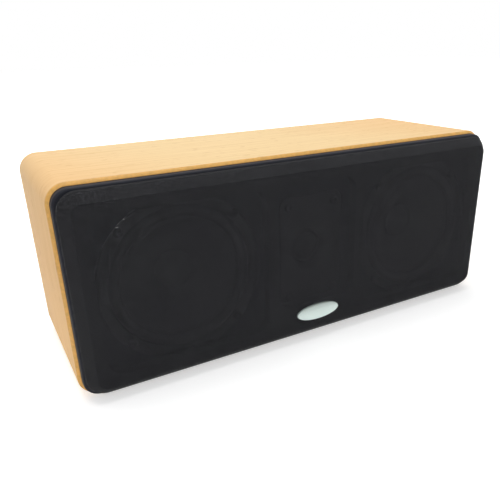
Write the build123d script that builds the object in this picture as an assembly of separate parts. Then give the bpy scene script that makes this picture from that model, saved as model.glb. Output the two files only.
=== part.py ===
from build123d import *

import math
import os

# A center channel speaker: two woofers and a tweeter in a round-cornered wooden cabinet,
# behind a pull-off cloth grille. Millimetres, Z up, front facing -Y, origin under the middle.

# Cabinet
CABINET_WIDTH = 432.0
CABINET_HEIGHT = 174.0
CABINET_DEPTH = 142.0
CORNER_RADIUS = 16.0
WALL = 15.0
EDGE_BREAK = 0.8
FRONT_LIP = 2.8
FRONT_LAND = 0.3
REAR_LIP = 5.0
REAR_RECESS = 6.0
REAR_PANEL_THICKNESS = 12.0
PANEL_GAP = 0.15

# Front baffle
BAFFLE_THICKNESS = 18.0
BAFFLE_PROUD = 7.0
BAFFLE_EDGE_RADIUS = 2.0

# Grille
GRILLE_PROUD = 18.6
GRILLE_INSET = 4.5
GRILLE_GAP = 1.0
GRILLE_CHAMFER = 8.0
GRILLE_CORNER = 16.0
CLOTH_THICKNESS = 0.8
CLOTH_TURN_IN = 6.0
RAIL_INSET = 22.0
RIB_OFFSET = 46.0
RIB_WIDTH = 9.0
WINDOW_RADIUS = 14.0
SCREW_HEAD_ROOM = 0.5
PEG_INSET = 16.0
PEG_RADIUS = 2.5
PEG_LENGTH = 10.0
PEG_ROOT = 6.0
SOCKET_RADIUS = 4.5
SOCKET_FLANGE = 6.0
SOCKET_FLANGE_THICKNESS = 0.6

# Badge
BADGE_WIDTH = 45.2
BADGE_HEIGHT = 15.4
BADGE_THICKNESS = 1.8
BADGE_RIM = 1.1
BADGE_FIELD_DEPTH = 0.5
BADGE_HEIGHT_SHARE = 1 / 6
BADGE_PIN_RADIUS = 1.2
BADGE_PIN_SPACING = 28.0
BADGE_PIN_LENGTH = 5.0

# Woofers, with depths measured back from the baffle's face
WOOFER_OFFSET_SHARE = 0.287
WOOFER_RADIUS = 70.4
WOOFER_REBATE = 4.0
WOOFER_HOLE = 61.0
WOOFER_SCREW_RADIUS = 66.5
SHEET = 1.2
NECK_RADIUS = 59.5
SHOULDER_RADIUS = 56.0
SHOULDER_DEPTH = 8.0
LEDGE_DEPTH = 29.0
LEDGE_OUTER = 43.0
LEDGE_INNER = 35.0
CHASSIS_RADIUS = 31.0
CHASSIS_BORE = 18.0
CONE_THICKNESS = 0.8
RUBBER = 0.6
ROLL_CENTRE = 55.5
ROLL_RADIUS = 4.2
CONE_EDGE = 51.0
CONE_LIP = 3.4
CONE_DEPTH = 22.4
CONE_FLARE = 1.15
FORMER_RADIUS = 13.0
FORMER_WALL = 0.3
COIL_RADIUS = 13.6
COIL_LENGTH = 12.0
FORMER_NECK = 2.6
GAP_CLEARANCE = 0.5
DUST_CAP_RADIUS = 17.0
DUST_CAP_HEIGHT = 6.0
DUST_CAP_SEAT = 1.3
SPIDER_RADIUS = 42.0
SPIDER_FLAT = 6.0
SPIDER_PITCH = 2.6
SPIDER_WAVE = 1.4
TOP_PLATE_RADIUS = 36.0
TOP_PLATE_DEPTH = 42.2
TOP_PLATE_THICKNESS = 5.0
MAGNET_RADIUS = 40.0
MAGNET_BORE = 19.0
MAGNET_THICKNESS = 14.0
YOKE_RADIUS = 37.0
YOKE_THICKNESS = 5.0
POLE_VENT = 4.0
BASKET_WINDOWS = 6
BASKET_WINDOW_ANGLE = 42.0
BASKET_WINDOW_FRONT = 11.0
BASKET_WINDOW_BACK = 25.0
RING_BORE = 60.2
RING_STEP = 63.2
RING_EDGE = 0.9
RING_BEVEL = 1.8
RING_BEVEL_DEPTH = 1.1
TERMINAL_RADIUS = 44.0
TERMINAL_SPACING = 10.0
STRIP_WIDTH = 9.0
STRIP_HEIGHT = 20.0
STRIP_THICKNESS = 1.6
BLADE_WIDTH = 4.8
BLADE_THICKNESS = 1.0
BLADE_LENGTH = 7.4

# Tweeter
TWEETER_WIDTH = 66.0
TWEETER_HEIGHT = 103.0
TWEETER_CORNER = 9.0
TWEETER_PLATE = 4.0
TWEETER_SCREW_INSET = 9.0
TWEETER_HOLE = 28.0
THROAT_RADIUS = 15.0
THROAT_DEPTH = 10.0
MOUTH_RADIUS = 25.5
BOSS_RADIUS = 24.0
DOME_RADIUS = 12.7
DOME_HEIGHT = 5.0
SILK = 0.4
TWEETER_ROLL = 0.85
TWEETER_FORMER = 0.3
TWEETER_GAP = 0.4
TWEETER_MAGNET_RADIUS = 26.0
TWEETER_MAGNET_THICKNESS = 9.0
TWEETER_STEEL = 3.0

# Rear terminals, with heights measured out from the floor of the cup
CUP_WIDTH = 84.0
CUP_HEIGHT = 64.0
CUP_FLANGE = 3.0
CUP_RECESS_WIDTH = 66.0
CUP_RECESS_HEIGHT = 46.0
CUP_DEPTH = 24.0
CUP_WALL = 2.5
CUP_CORNER = 6.0
CUP_RECESS_CORNER = 3.0
CUP_SCREW_INSET = 4.0
CUP_GASKET = 1.0
MARK_LENGTH = 6.0
MARK_WIDTH = 1.2
MARK_RISE = 0.5
MARK_OFFSET = 15.0
POST_SPACING = 19.05
POST_RADIUS = 3.0
POST_TOP = 20.0
POST_TAIL = 12.0
PLUG_RADIUS = 2.0
PLUG_DEPTH = 12.5
WIRE_HOLE_RADIUS = 1.6
WIRE_HOLE_HEIGHT = 5.2
COLLAR_RADIUS = 6.5
COLLAR_HEIGHT = 3.0
CLAMP_GAP = 0.3
WASHER_THICKNESS = 1.0
KNOB_RADIUS = 6.2
KNOB_LENGTH = 13.5
KNOB_FLUTES = 12
FLUTE_RADIUS = 0.9
FLUTE_OFFSET = 0.35
KNOB_SKIRT = 2.0
THREAD_CLEARANCE = 0.08
NUT_FLATS = 9.0
NUT_HEIGHT = 4.0
SOLDER_TAB_RADIUS = 5.0
SOLDER_TAB_THICKNESS = 0.8
SOLDER_TAB_WIDTH = 4.0
SOLDER_TAB_REACH = 11.0

# Crossover and what else is inside
BOARD_WIDTH = 96.0
BOARD_HEIGHT = 60.0
BOARD_THICKNESS = 1.6
BOARD_STAND_OFF = 8.0
BOARD_HOLE_INSET = 5.0
BOARD_HOLE_DEPTH = 8.0
SPACER_RADIUS = 3.5
FLANGE = 1.5
WOOFER_COIL = {"x": 25.0, "z": -10.0, "radius": 17.0, "height": 18.0}
TWEETER_COIL = {"x": 30.0, "z": 18.0, "radius": 9.0, "height": 12.0}
LARGE_CAN = {"x": -4.0, "z": 19.0, "radius": 7.0, "length": 30.0}
SMALL_CAN = {"x": -10.0, "z": -21.0, "radius": 6.0, "length": 26.0}
RESISTOR = {"x": -9.0, "z": -3.0, "side": 9.0, "length": 30.0}
PAD_THICKNESS = 18.0
WALL_PAD_THICKNESS = 12.0
WALL_PAD_DEPTH = 44.0
REAR_PAD_HEIGHT = 110.0
PAD_MARGIN = 4.0
CUP_MARGIN = 40.0
WIRE_RADIUS = 1.1
WIRE_BEND = 8.0
SOLDER_PITCH = 7.0
TWEETER_PADS = {"x": -36.0, "z": 18.0}
INPUT_PADS = {"x": -30.0, "z": -20.0}
FAR_WOOFER_PAD = -44.0
FAR_WOOFER_LEVEL = 29.6
TWEETER_LEVEL = 55.6
INPUT_LEVEL = 10.0
INPUT_STEP = 4.0

# Fasteners
SCREW_CLEARANCE = 0.1
WOOD_SCREW = {"head": 4.0, "rise": 2.4, "shank": 1.9, "length": 17.0}
CUP_SCREW = {"head": 3.2, "rise": 1.8, "shank": 1.5, "length": 13.0}
BOARD_SCREW = {"head": 2.8, "rise": 1.8, "shank": 1.4, "length": 16.0}

# Levels along Y
overall_depth = CABINET_DEPTH + GRILLE_PROUD + BADGE_THICKNESS
back_y = overall_depth / 2
front_y = back_y - CABINET_DEPTH
baffle_y = front_y - BAFFLE_PROUD
baffle_back_y = baffle_y + BAFFLE_THICKNESS
grille_back_y = baffle_y - GRILLE_GAP
grille_front_y = front_y - GRILLE_PROUD
frame_back_y = grille_back_y - CLOTH_THICKNESS
rear_y = back_y - REAR_RECESS
rear_inner_y = rear_y - REAR_PANEL_THICKNESS
cup_y = rear_y + CUP_GASKET + CUP_FLANGE
cup_floor_y = cup_y - CUP_DEPTH
cup_shell_corner = CUP_RECESS_CORNER + CUP_WALL
board_back_y = rear_inner_y - BOARD_STAND_OFF
board_y = board_back_y - BOARD_THICKNESS
mid_z = CABINET_HEIGHT / 2
inner_half_width = CABINET_WIDTH / 2 - WALL
badge_z = CABINET_HEIGHT * BADGE_HEIGHT_SHARE
board_x = CABINET_WIDTH / 4
woofer_x = CABINET_WIDTH * WOOFER_OFFSET_SHARE
tweeter_screw_rise = TWEETER_HEIGHT / 2 - TWEETER_SCREW_INSET
badge_land_z = mid_z - tweeter_screw_rise - WOOD_SCREW["head"] - SCREW_HEAD_ROOM
WOOFERS = {"left": -woofer_x, "right": woofer_x}
POSTS = {"red": POST_SPACING / 2, "black": -POST_SPACING / 2}


def plate(sketch, y_from, y_to):
    """Solid between two levels along Y, from an outline drawn in X and Z."""
    plane = Plane((0, y_to, 0), x_dir=(1, 0, 0), z_dir=(0, -1, 0))
    return extrude(plane * sketch, amount=y_to - y_from)


def outline(inset, corner=CORNER_RADIUS):
    """Cabinet outline in X and Z, moved in all round."""
    width = CABINET_WIDTH - 2 * inset
    height = CABINET_HEIGHT - 2 * inset
    return Pos(0, mid_z) * RectangleRounded(width, height, max(corner - inset, 2.0))


def grille_outline(inset):
    """Outline of the grille, whose corners are rounder than the baffle's, moved in all round."""
    return outline(GRILLE_INSET + inset, GRILLE_INSET + GRILLE_CORNER)


def rounded(x, z, width, height, radius):
    """Rounded rectangle about a point in X and Z."""
    return Pos(x, z) * RectangleRounded(width, height, radius)


def disc(x, z, radius):
    """Circle about a point in X and Z."""
    return Pos(x, z) * Circle(radius)


def turned(x, z, points):
    """Solid turned about the Y axis of a drive unit, from points of (radius, depth)."""
    return Pos(x, baffle_y, z) * revolve(Polygon(*points, align=None), axis=Axis.Y)


def tube(x, z, inner, outer, front, back):
    """Plain ring about the Y axis of a drive unit, between two depths."""
    return turned(x, z, [(inner, front), (outer, front), (outer, back), (inner, back)])


def band(path, thickness):
    """Closed outline of a sheet that follows a path of points."""
    normals = []
    for (x0, y0), (x1, y1) in zip(path, path[1:]):
        length = math.hypot(x1 - x0, y1 - y0)
        normals.append(((y0 - y1) / length, (x1 - x0) / length))
    sides = []
    for i, (x, y) in enumerate(path):
        a = normals[max(i - 1, 0)]
        b = normals[min(i, len(normals) - 1)]
        reach = thickness / 2 / (1 + a[0] * b[0] + a[1] * b[1])
        sides.append(((a[0] + b[0]) * reach, (a[1] + b[1]) * reach))
    upper = [(x + dx, y + dy) for (x, y), (dx, dy) in zip(path, sides)]
    lower = [(x - dx, y - dy) for (x, y), (dx, dy) in zip(path, sides)]
    return upper + lower[::-1]


def arc(centre, radius, start, end, steps):
    """Points along a circle, angles in degrees."""
    angles = [math.radians(start + (end - start) * i / steps) for i in range(steps + 1)]
    return [(centre[0] + radius * math.cos(a), centre[1] + radius * math.sin(a)) for a in angles]


def screw(x, z, seat_y, size, way):
    """Cross-head screw whose shank runs from its seat along +Y (way 1) or -Y (way -1)."""
    head = [(0, -size["rise"]), (size["head"] * 0.75, -size["rise"]), (size["head"], -size["rise"] * 0.45)]
    shank = [(size["head"], 0), (size["shank"], 0), (size["shank"], size["length"] - size["head"] / 2),
             (0, size["length"])]
    body = revolve(Polygon(*head, *shank, align=None), axis=Axis.Y)
    for long_x, long_z in ((1.0, 0.24), (0.24, 1.0)):
        slot = Box(size["head"] * long_x, size["rise"], size["head"] * long_z)
        body -= Pos(0, -size["rise"], 0) * slot
    return Pos(x, seat_y, z) * (body if way > 0 else Rot(Z=180) * body)


def around(count, radius, first):
    """Points spread evenly on a circle, the first at an angle in degrees."""
    angles = [math.radians(first + 360.0 * i / count) for i in range(count)]
    return [(radius * math.cos(a), radius * math.sin(a)) for a in angles]


def lead(points):
    """Insulated wire along a bent path."""
    path = FilletPolyline(*points, radius=WIRE_BEND) if len(points) > 2 else Line(*points)
    start = Plane(origin=path @ 0, z_dir=path % 0)
    return sweep(start * Circle(WIRE_RADIUS), path=path)


def group(solids):
    """Like pieces kept as separate solids of one node."""
    return Compound(children=list(solids))


woofer_screw_spots = [(x + dx, mid_z + dz) for x in WOOFERS.values()
                      for dx, dz in around(4, WOOFER_SCREW_RADIUS, 45)]
tweeter_screw_spots = [(sx * (TWEETER_WIDTH / 2 - TWEETER_SCREW_INSET),
                        mid_z + sz * tweeter_screw_rise)
                       for sx in (-1, 1) for sz in (-1, 1)]
peg_spots = [(sx * (CABINET_WIDTH / 2 - PEG_INSET), z) for sx in (-1, 0, 1)
             for z in (PEG_INSET, CABINET_HEIGHT - PEG_INSET)]
cup_screw_spots = [(sx * (CUP_WIDTH / 2 - CUP_SCREW_INSET),
                    mid_z + sz * (CUP_HEIGHT / 2 - CUP_SCREW_INSET))
                   for sx in (-1, 1) for sz in (-1, 1)]
board_screw_spots = [(board_x + sx * (BOARD_WIDTH / 2 - BOARD_HOLE_INSET),
                      mid_z + sz * (BOARD_HEIGHT / 2 - BOARD_HOLE_INSET))
                     for sx in (-1, 1) for sz in (-1, 1)]


def cabinet_wrap():
    """Wooden tube with a sloping front edge, rebated for the baffle and for the rear panel."""
    body = plate(outline(0), front_y, back_y)
    body = chamfer(body.faces().sort_by(Axis.Y)[0].edges(), FRONT_LIP - FRONT_LAND)
    body = chamfer(body.faces().sort_by(Axis.Y)[-1].edges(), EDGE_BREAK)
    body -= plate(outline(WALL), front_y, back_y)
    body -= plate(outline(FRONT_LIP), front_y, baffle_back_y)
    return body - plate(outline(REAR_LIP), rear_inner_y, back_y)


def front_baffle():
    """Board with a rounded edge, rebated so that the drive units sit flush."""
    body = plate(outline(FRONT_LIP + PANEL_GAP), baffle_y, baffle_back_y)
    body = fillet(body.faces().sort_by(Axis.Y)[0].edges(), BAFFLE_EDGE_RADIUS)
    for x in WOOFERS.values():
        body -= plate(disc(x, mid_z, WOOFER_RADIUS + PANEL_GAP), baffle_y, baffle_y + WOOFER_REBATE)
        body -= plate(disc(x, mid_z, WOOFER_HOLE), baffle_y, baffle_back_y)
    seat = rounded(0, mid_z, TWEETER_WIDTH + 2 * PANEL_GAP, TWEETER_HEIGHT + 2 * PANEL_GAP, TWEETER_CORNER)
    body -= plate(seat, baffle_y, baffle_y + TWEETER_PLATE)
    body -= plate(disc(0, mid_z, TWEETER_HOLE), baffle_y, baffle_back_y)
    for x, z in woofer_screw_spots + tweeter_screw_spots:
        body -= plate(disc(x, z, WOOD_SCREW["shank"] + SCREW_CLEARANCE), baffle_y, baffle_back_y)
    for x, z in peg_spots:
        body -= plate(disc(x, z, SOCKET_RADIUS), baffle_y, baffle_y + PEG_LENGTH + 3)
    return body


def rear_panel():
    """Board let into the back, cut out for the terminal cup."""
    body = plate(outline(REAR_LIP + PANEL_GAP), rear_inner_y, rear_y)
    cut_width = CUP_RECESS_WIDTH + 2 * (CUP_WALL + PANEL_GAP)
    cut_height = CUP_RECESS_HEIGHT + 2 * (CUP_WALL + PANEL_GAP)
    body -= plate(rounded(0, mid_z, cut_width, cut_height, cup_shell_corner), rear_inner_y, rear_y)
    for x, z in cup_screw_spots:
        body -= plate(disc(x, z, CUP_SCREW["shank"] + SCREW_CLEARANCE), rear_inner_y, rear_y)
    for x, z in board_screw_spots:
        hole = disc(x, z, BOARD_SCREW["shank"] + SCREW_CLEARANCE)
        body -= plate(hole, rear_inner_y, rear_inner_y + BOARD_HOLE_DEPTH)
    return body


def grille_block(skin):
    """Outside of the grille, moved in by the thickness of a skin."""
    body = plate(grille_outline(skin), grille_front_y + skin, frame_back_y)
    size = GRILLE_CHAMFER - skin * (2 - math.sqrt(2))
    return chamfer(body.faces().sort_by(Axis.Y)[0].edges(), size)


def badge_pins(radius, y_from, y_to):
    """The two pins of the badge, or holes for them."""
    spots = [sx * BADGE_PIN_SPACING / 2 for sx in (-1, 1)]
    return [plate(disc(x, badge_z, radius), y_from, y_to) for x in spots]


def grille_frame():
    """Chamfered frame with a window in front of each drive unit."""
    body = grille_block(CLOTH_THICKNESS)
    low, high = RAIL_INSET, CABINET_HEIGHT - RAIL_INSET
    inner, outer = RIB_OFFSET + RIB_WIDTH / 2, CABINET_WIDTH / 2 - RAIL_INSET
    for side in (-1, 1):
        window = rounded(side * (inner + outer) / 2, mid_z, outer - inner, high - low, WINDOW_RADIUS)
        body -= plate(window, grille_front_y, grille_back_y)
    middle = 2 * RIB_OFFSET - RIB_WIDTH
    window = rounded(0, (badge_land_z + high) / 2, middle, high - badge_land_z, WINDOW_RADIUS)
    body -= plate(window, grille_front_y, grille_back_y)
    for x, z in peg_spots:
        body -= plate(disc(x, z, PEG_RADIUS), frame_back_y - PEG_ROOT, frame_back_y)
    for hole in badge_pins(BADGE_PIN_RADIUS + SCREW_CLEARANCE, grille_front_y, grille_back_y):
        body -= hole
    return body


def grille_cloth():
    """Skin over the front, chamfer and sides of the frame, turned in at the back."""
    body = grille_block(0) - grille_block(CLOTH_THICKNESS)
    turned_in = grille_outline(0) - grille_outline(CLOTH_THICKNESS + CLOTH_TURN_IN)
    body += plate(turned_in, frame_back_y, grille_back_y)
    for hole in badge_pins(BADGE_PIN_RADIUS + SCREW_CLEARANCE, grille_front_y, frame_back_y):
        body -= hole
    return body


def grille_pegs():
    """Round-ended pegs, each rooted in the frame."""
    tip = baffle_y + PEG_LENGTH
    pegs = []
    for x, z in peg_spots:
        peg = plate(disc(x, z, PEG_RADIUS), frame_back_y - PEG_ROOT, tip)
        pegs.append(chamfer(peg.faces().sort_by(Axis.Y)[-1].edges(), 0.8))
    return group(pegs)


def grille_sockets():
    """Flanged cups in the baffle that grip the pegs."""
    sockets = []
    for x, z in peg_spots:
        cup = plate(disc(x, z, SOCKET_RADIUS), baffle_y, baffle_y + PEG_LENGTH + 3)
        cup += plate(disc(x, z, SOCKET_FLANGE), baffle_y - SOCKET_FLANGE_THICKNESS, baffle_y)
        bore = disc(x, z, PEG_RADIUS + SCREW_CLEARANCE)
        sockets.append(cup - plate(bore, baffle_y - SOCKET_FLANGE_THICKNESS, baffle_y + PEG_LENGTH + 1))
    return group(sockets)


def badge():
    """Bare oval plate with a raised rim and two pins."""
    face_y = grille_front_y - BADGE_THICKNESS
    oval = Pos(0, badge_z) * Ellipse(BADGE_WIDTH / 2, BADGE_HEIGHT / 2)
    field = Pos(0, badge_z) * Ellipse(BADGE_WIDTH / 2 - BADGE_RIM, BADGE_HEIGHT / 2 - BADGE_RIM)
    body = plate(oval, face_y, grille_front_y)
    body = chamfer(body.faces().sort_by(Axis.Y)[0].edges(), 0.35)
    body -= plate(field, face_y, face_y + BADGE_FIELD_DEPTH)
    for pin in badge_pins(BADGE_PIN_RADIUS, grille_front_y, grille_front_y + BADGE_PIN_LENGTH):
        body += pin
    return body


FLANGE_DEPTH = WOOFER_REBATE - SHEET
cone_lip_depth = FLANGE_DEPTH + CONE_THICKNESS / 2
cone_lip_radius = CONE_EDGE - CONE_LIP
cone_neck_radius = FORMER_RADIUS + CONE_THICKNESS / 2 + SCREW_CLEARANCE
magnet_depth = TOP_PLATE_DEPTH + TOP_PLATE_THICKNESS
yoke_depth = magnet_depth + MAGNET_THICKNESS
pole_radius = FORMER_RADIUS - FORMER_WALL - GAP_CLEARANCE


def woofer_basket(x):
    """Pressed steel frame with a window between each pair of legs."""
    flange, foot = FLANGE_DEPTH + SHEET / 2, TOP_PLATE_DEPTH - SHEET / 2
    path = [(WOOFER_RADIUS, flange), (NECK_RADIUS, flange), (SHOULDER_RADIUS, SHOULDER_DEPTH),
            (LEDGE_OUTER, LEDGE_DEPTH), (LEDGE_INNER, LEDGE_DEPTH),
            (CHASSIS_RADIUS, foot), (CHASSIS_BORE, foot)]
    body = turned(x, mid_z, band(path, SHEET))
    front, back = BASKET_WINDOW_FRONT, BASKET_WINDOW_BACK
    cutter = Polygon((CHASSIS_BORE, front), (WOOFER_RADIUS, front), (WOOFER_RADIUS, back),
                     (CHASSIS_BORE, back), align=None)
    for i in range(BASKET_WINDOWS):
        turn = Rot(Y=360.0 / BASKET_WINDOWS * i - BASKET_WINDOW_ANGLE / 2)
        body -= Pos(x, baffle_y, mid_z) * turn * revolve(cutter, Axis.Y, BASKET_WINDOW_ANGLE)
    for sx, sz in around(4, WOOFER_SCREW_RADIUS, 45):
        hole = disc(x + sx, mid_z + sz, WOOD_SCREW["shank"] + SCREW_CLEARANCE)
        body -= plate(hole, baffle_y, baffle_y + WOOFER_REBATE)
    return body


def woofer_trim_ring(x):
    """Ring that covers the flange and holds down the edge of the surround."""
    step = FLANGE_DEPTH - RUBBER
    profile = [(RING_BORE, RING_EDGE), (RING_BORE + RING_EDGE, 0), (WOOFER_RADIUS - RING_BEVEL, 0),
               (WOOFER_RADIUS, RING_BEVEL_DEPTH), (WOOFER_RADIUS, FLANGE_DEPTH), (RING_STEP, FLANGE_DEPTH),
               (RING_STEP, step), (RING_BORE, step)]
    body = turned(x, mid_z, profile)
    for sx, sz in around(4, WOOFER_SCREW_RADIUS, 45):
        hole = disc(x + sx, mid_z + sz, WOOD_SCREW["shank"] + SCREW_CLEARANCE)
        body -= plate(hole, baffle_y, baffle_y + WOOFER_REBATE)
    return body


def woofer_surround(x):
    """Half-roll of rubber between the basket's flange and the cone's edge."""
    depth = FLANGE_DEPTH - RUBBER / 2
    roll = arc((ROLL_CENTRE, depth), ROLL_RADIUS, 180, 360, 8)
    path = [(cone_lip_radius, depth), *roll, (RING_STEP - SCREW_CLEARANCE, depth)]
    return turned(x, mid_z, band(path, RUBBER))


def cone_depth(radius):
    """Depth of the cone's flare at a radius."""
    share = (cone_lip_radius - radius) / (cone_lip_radius - cone_neck_radius)
    return cone_lip_depth + CONE_DEPTH * share ** CONE_FLARE


def woofer_cone(x):
    """Flared paper cone with a flat lip for the surround."""
    steps = 5
    radii = [cone_lip_radius + (cone_neck_radius - cone_lip_radius) * i / steps for i in range(steps + 1)]
    path = [(CONE_EDGE, cone_lip_depth), *[(radius, cone_depth(radius)) for radius in radii]]
    return turned(x, mid_z, band(path, CONE_THICKNESS))


def woofer_dust_cap(x):
    """Domed cap over the voice coil."""
    rim_depth = cone_depth(DUST_CAP_RADIUS) - DUST_CAP_SEAT
    radius = (DUST_CAP_RADIUS ** 2 + DUST_CAP_HEIGHT ** 2) / (2 * DUST_CAP_HEIGHT)
    half = math.degrees(math.asin(DUST_CAP_RADIUS / radius))
    centre = (0, rim_depth - DUST_CAP_HEIGHT + radius)
    outer = arc(centre, radius, 270 + half, 270, 5)
    inner = arc(centre, radius - RUBBER, 270, 270 + half, 5)
    return turned(x, mid_z, outer + inner)


def woofer_spider(x):
    """Corrugated disc that centres the voice coil."""
    depth = LEDGE_DEPTH - SHEET / 2 - RUBBER / 2
    first = SPIDER_RADIUS - SPIDER_FLAT
    last = FORMER_RADIUS + RUBBER / 2 + SCREW_CLEARANCE
    count = int((first - last) / SPIDER_PITCH) - 1
    waves = [(first - SPIDER_PITCH * (i + 1), depth - SPIDER_WAVE * (-1) ** i) for i in range(count)]
    path = [(SPIDER_RADIUS, depth), (first, depth), *waves, (last, depth)]
    return turned(x, mid_z, band(path, RUBBER))


def woofer_voice_coil(x):
    """Former with its winding centred on the top plate."""
    middle = TOP_PLATE_DEPTH + TOP_PLATE_THICKNESS / 2
    inner = FORMER_RADIUS - FORMER_WALL
    top = cone_lip_depth + CONE_DEPTH - FORMER_NECK
    start, end = middle - COIL_LENGTH / 2, middle + COIL_LENGTH / 2
    profile = [(inner, top), (FORMER_RADIUS, top), (FORMER_RADIUS, start), (COIL_RADIUS, start),
               (COIL_RADIUS, end), (inner, end)]
    return turned(x, mid_z, profile)


def woofer_top_plate(x):
    """Steel ring around the front of the gap."""
    gap = COIL_RADIUS + GAP_CLEARANCE
    return tube(x, mid_z, gap, TOP_PLATE_RADIUS, TOP_PLATE_DEPTH, magnet_depth)


def woofer_magnet(x):
    """Ferrite ring."""
    return tube(x, mid_z, MAGNET_BORE, MAGNET_RADIUS, magnet_depth, yoke_depth)


def woofer_yoke(x):
    """Back plate and vented pole."""
    back = yoke_depth + YOKE_THICKNESS
    profile = [(POLE_VENT, TOP_PLATE_DEPTH), (pole_radius, TOP_PLATE_DEPTH), (pole_radius, yoke_depth),
               (YOKE_RADIUS, yoke_depth), (YOKE_RADIUS, back - 1), (YOKE_RADIUS - 1, back), (POLE_VENT, back)]
    return turned(x, mid_z, profile)


def tabs(x, y_from, y_to):
    """Two upright blades for push-on leads."""
    blades = []
    for side in (-1, 1):
        blade = Pos(x, mid_z + side * TERMINAL_SPACING / 2) * Rectangle(BLADE_THICKNESS, BLADE_WIDTH)
        blades.append(plate(blade, y_from, y_to))
    return blades


def woofer_terminals(x):
    """Strip behind the basket's ledge, on the side towards the middle of the cabinet."""
    inward = -math.copysign(1, x)
    seat = baffle_y + LEDGE_DEPTH + SHEET / 2
    strip = rounded(x + inward * (TERMINAL_RADIUS - 2), mid_z, STRIP_WIDTH, STRIP_HEIGHT, 1.5)
    face = seat + STRIP_THICKNESS
    body = plate(strip, seat, face)
    for blade in tabs(x + inward * TERMINAL_RADIUS, face, face + BLADE_LENGTH):
        body += blade
    return body


SILK_DEPTH = THROAT_DEPTH + SILK
tweeter_magnet_depth = SILK_DEPTH + TWEETER_STEEL
tweeter_yoke_depth = tweeter_magnet_depth + TWEETER_MAGNET_THICKNESS
tweeter_back_depth = tweeter_yoke_depth + TWEETER_STEEL + 1


def tweeter_faceplate():
    """Plate with a flared recess down to the dome."""
    body = plate(rounded(0, mid_z, TWEETER_WIDTH, TWEETER_HEIGHT, TWEETER_CORNER),
                 baffle_y, baffle_y + TWEETER_PLATE)
    body = chamfer(body.faces().sort_by(Axis.Y)[0].edges(), 0.8)
    body += plate(disc(0, mid_z, BOSS_RADIUS), baffle_y + TWEETER_PLATE, baffle_y + THROAT_DEPTH)
    curve = [(MOUTH_RADIUS - (MOUTH_RADIUS - THROAT_RADIUS) * math.sin(math.radians(15 * i)),
              THROAT_DEPTH * (1 - math.cos(math.radians(15 * i)))) for i in range(7)]
    flare = [(0, 0), *curve, (THROAT_RADIUS, THROAT_DEPTH + 1), (0, THROAT_DEPTH + 1)]
    body -= turned(0, mid_z, flare)
    for x, z in tweeter_screw_spots:
        hole = disc(x, z, WOOD_SCREW["shank"] + SCREW_CLEARANCE)
        body -= plate(hole, baffle_y, baffle_y + TWEETER_PLATE)
    return body


def tweeter_dome():
    """Soft dome with the rim that its coil hangs from."""
    radius = (DOME_RADIUS ** 2 + DOME_HEIGHT ** 2) / (2 * DOME_HEIGHT)
    half = math.degrees(math.asin(DOME_RADIUS / radius))
    centre = (0, THROAT_DEPTH - DOME_HEIGHT + radius)
    outer = arc(centre, radius, 270 + half, 270, 6)
    inner = arc(centre, radius - SILK, 270, 270 + half, 6)
    return turned(0, mid_z, outer + inner)


def tweeter_surround():
    """Narrow roll between the dome and the plate's boss."""
    depth = THROAT_DEPTH + SILK / 2
    centre = DOME_RADIUS + TWEETER_ROLL + SILK / 2 + 0.15
    roll = arc((centre, depth), TWEETER_ROLL, 180, 360, 6)
    return turned(0, mid_z, band([*roll, (BOSS_RADIUS - 2, depth)], SILK))


def tweeter_voice_coil():
    """Coil in the tweeter's gap."""
    return tube(0, mid_z, DOME_RADIUS - TWEETER_FORMER, DOME_RADIUS, THROAT_DEPTH + 0.3,
                tweeter_magnet_depth + TWEETER_STEEL / 2)


def tweeter_top_plate():
    """Steel ring around the tweeter's gap."""
    gap = DOME_RADIUS + TWEETER_GAP
    return tube(0, mid_z, gap, TWEETER_MAGNET_RADIUS - 2, SILK_DEPTH, tweeter_magnet_depth)


def tweeter_magnet():
    """Ferrite ring of the tweeter."""
    bore = THROAT_RADIUS + GAP_CLEARANCE
    return tube(0, mid_z, bore, TWEETER_MAGNET_RADIUS, tweeter_magnet_depth, tweeter_yoke_depth)


def tweeter_yoke():
    """Back plate and pole of the tweeter."""
    pole = DOME_RADIUS - TWEETER_FORMER - TWEETER_GAP
    outer = TWEETER_MAGNET_RADIUS - 2
    return turned(0, mid_z, [(0, SILK_DEPTH + 0.6), (pole, SILK_DEPTH + 0.6), (pole, tweeter_yoke_depth),
                             (outer, tweeter_yoke_depth), (outer, tweeter_back_depth),
                             (0, tweeter_back_depth)])


def tweeter_terminals():
    """Strip on the back of the tweeter's yoke."""
    seat = baffle_y + tweeter_back_depth
    face = seat + STRIP_THICKNESS
    body = plate(rounded(0, mid_z, STRIP_WIDTH, STRIP_HEIGHT, 1.5), seat, face)
    for blade in tabs(0, face, face + BLADE_LENGTH):
        body += blade
    return body


def terminal_cup():
    """Recessed plastic cup that carries the binding posts."""
    body = plate(rounded(0, mid_z, CUP_WIDTH, CUP_HEIGHT, CUP_CORNER), cup_y - CUP_FLANGE, cup_y)
    body = chamfer(body.faces().sort_by(Axis.Y)[-1].edges(), 0.8)
    shell_width = CUP_RECESS_WIDTH + 2 * CUP_WALL
    shell_height = CUP_RECESS_HEIGHT + 2 * CUP_WALL
    shell = rounded(0, mid_z, shell_width, shell_height, cup_shell_corner)
    recess = rounded(0, mid_z, CUP_RECESS_WIDTH, CUP_RECESS_HEIGHT, CUP_RECESS_CORNER)
    body += plate(shell, cup_floor_y - CUP_WALL, cup_y - CUP_FLANGE)
    body -= plate(recess, cup_floor_y, cup_y)
    for x in POSTS.values():
        body -= plate(disc(x, mid_z, POST_RADIUS + SCREW_CLEARANCE), cup_floor_y - CUP_WALL, cup_floor_y)
    for x, z in cup_screw_spots:
        body -= plate(disc(x, z, CUP_SCREW["shank"] + SCREW_CLEARANCE), cup_y - CUP_FLANGE, cup_y)
    return body + plate(polarity_marks(), cup_floor_y - MARK_RISE, cup_floor_y + MARK_RISE)


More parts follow.
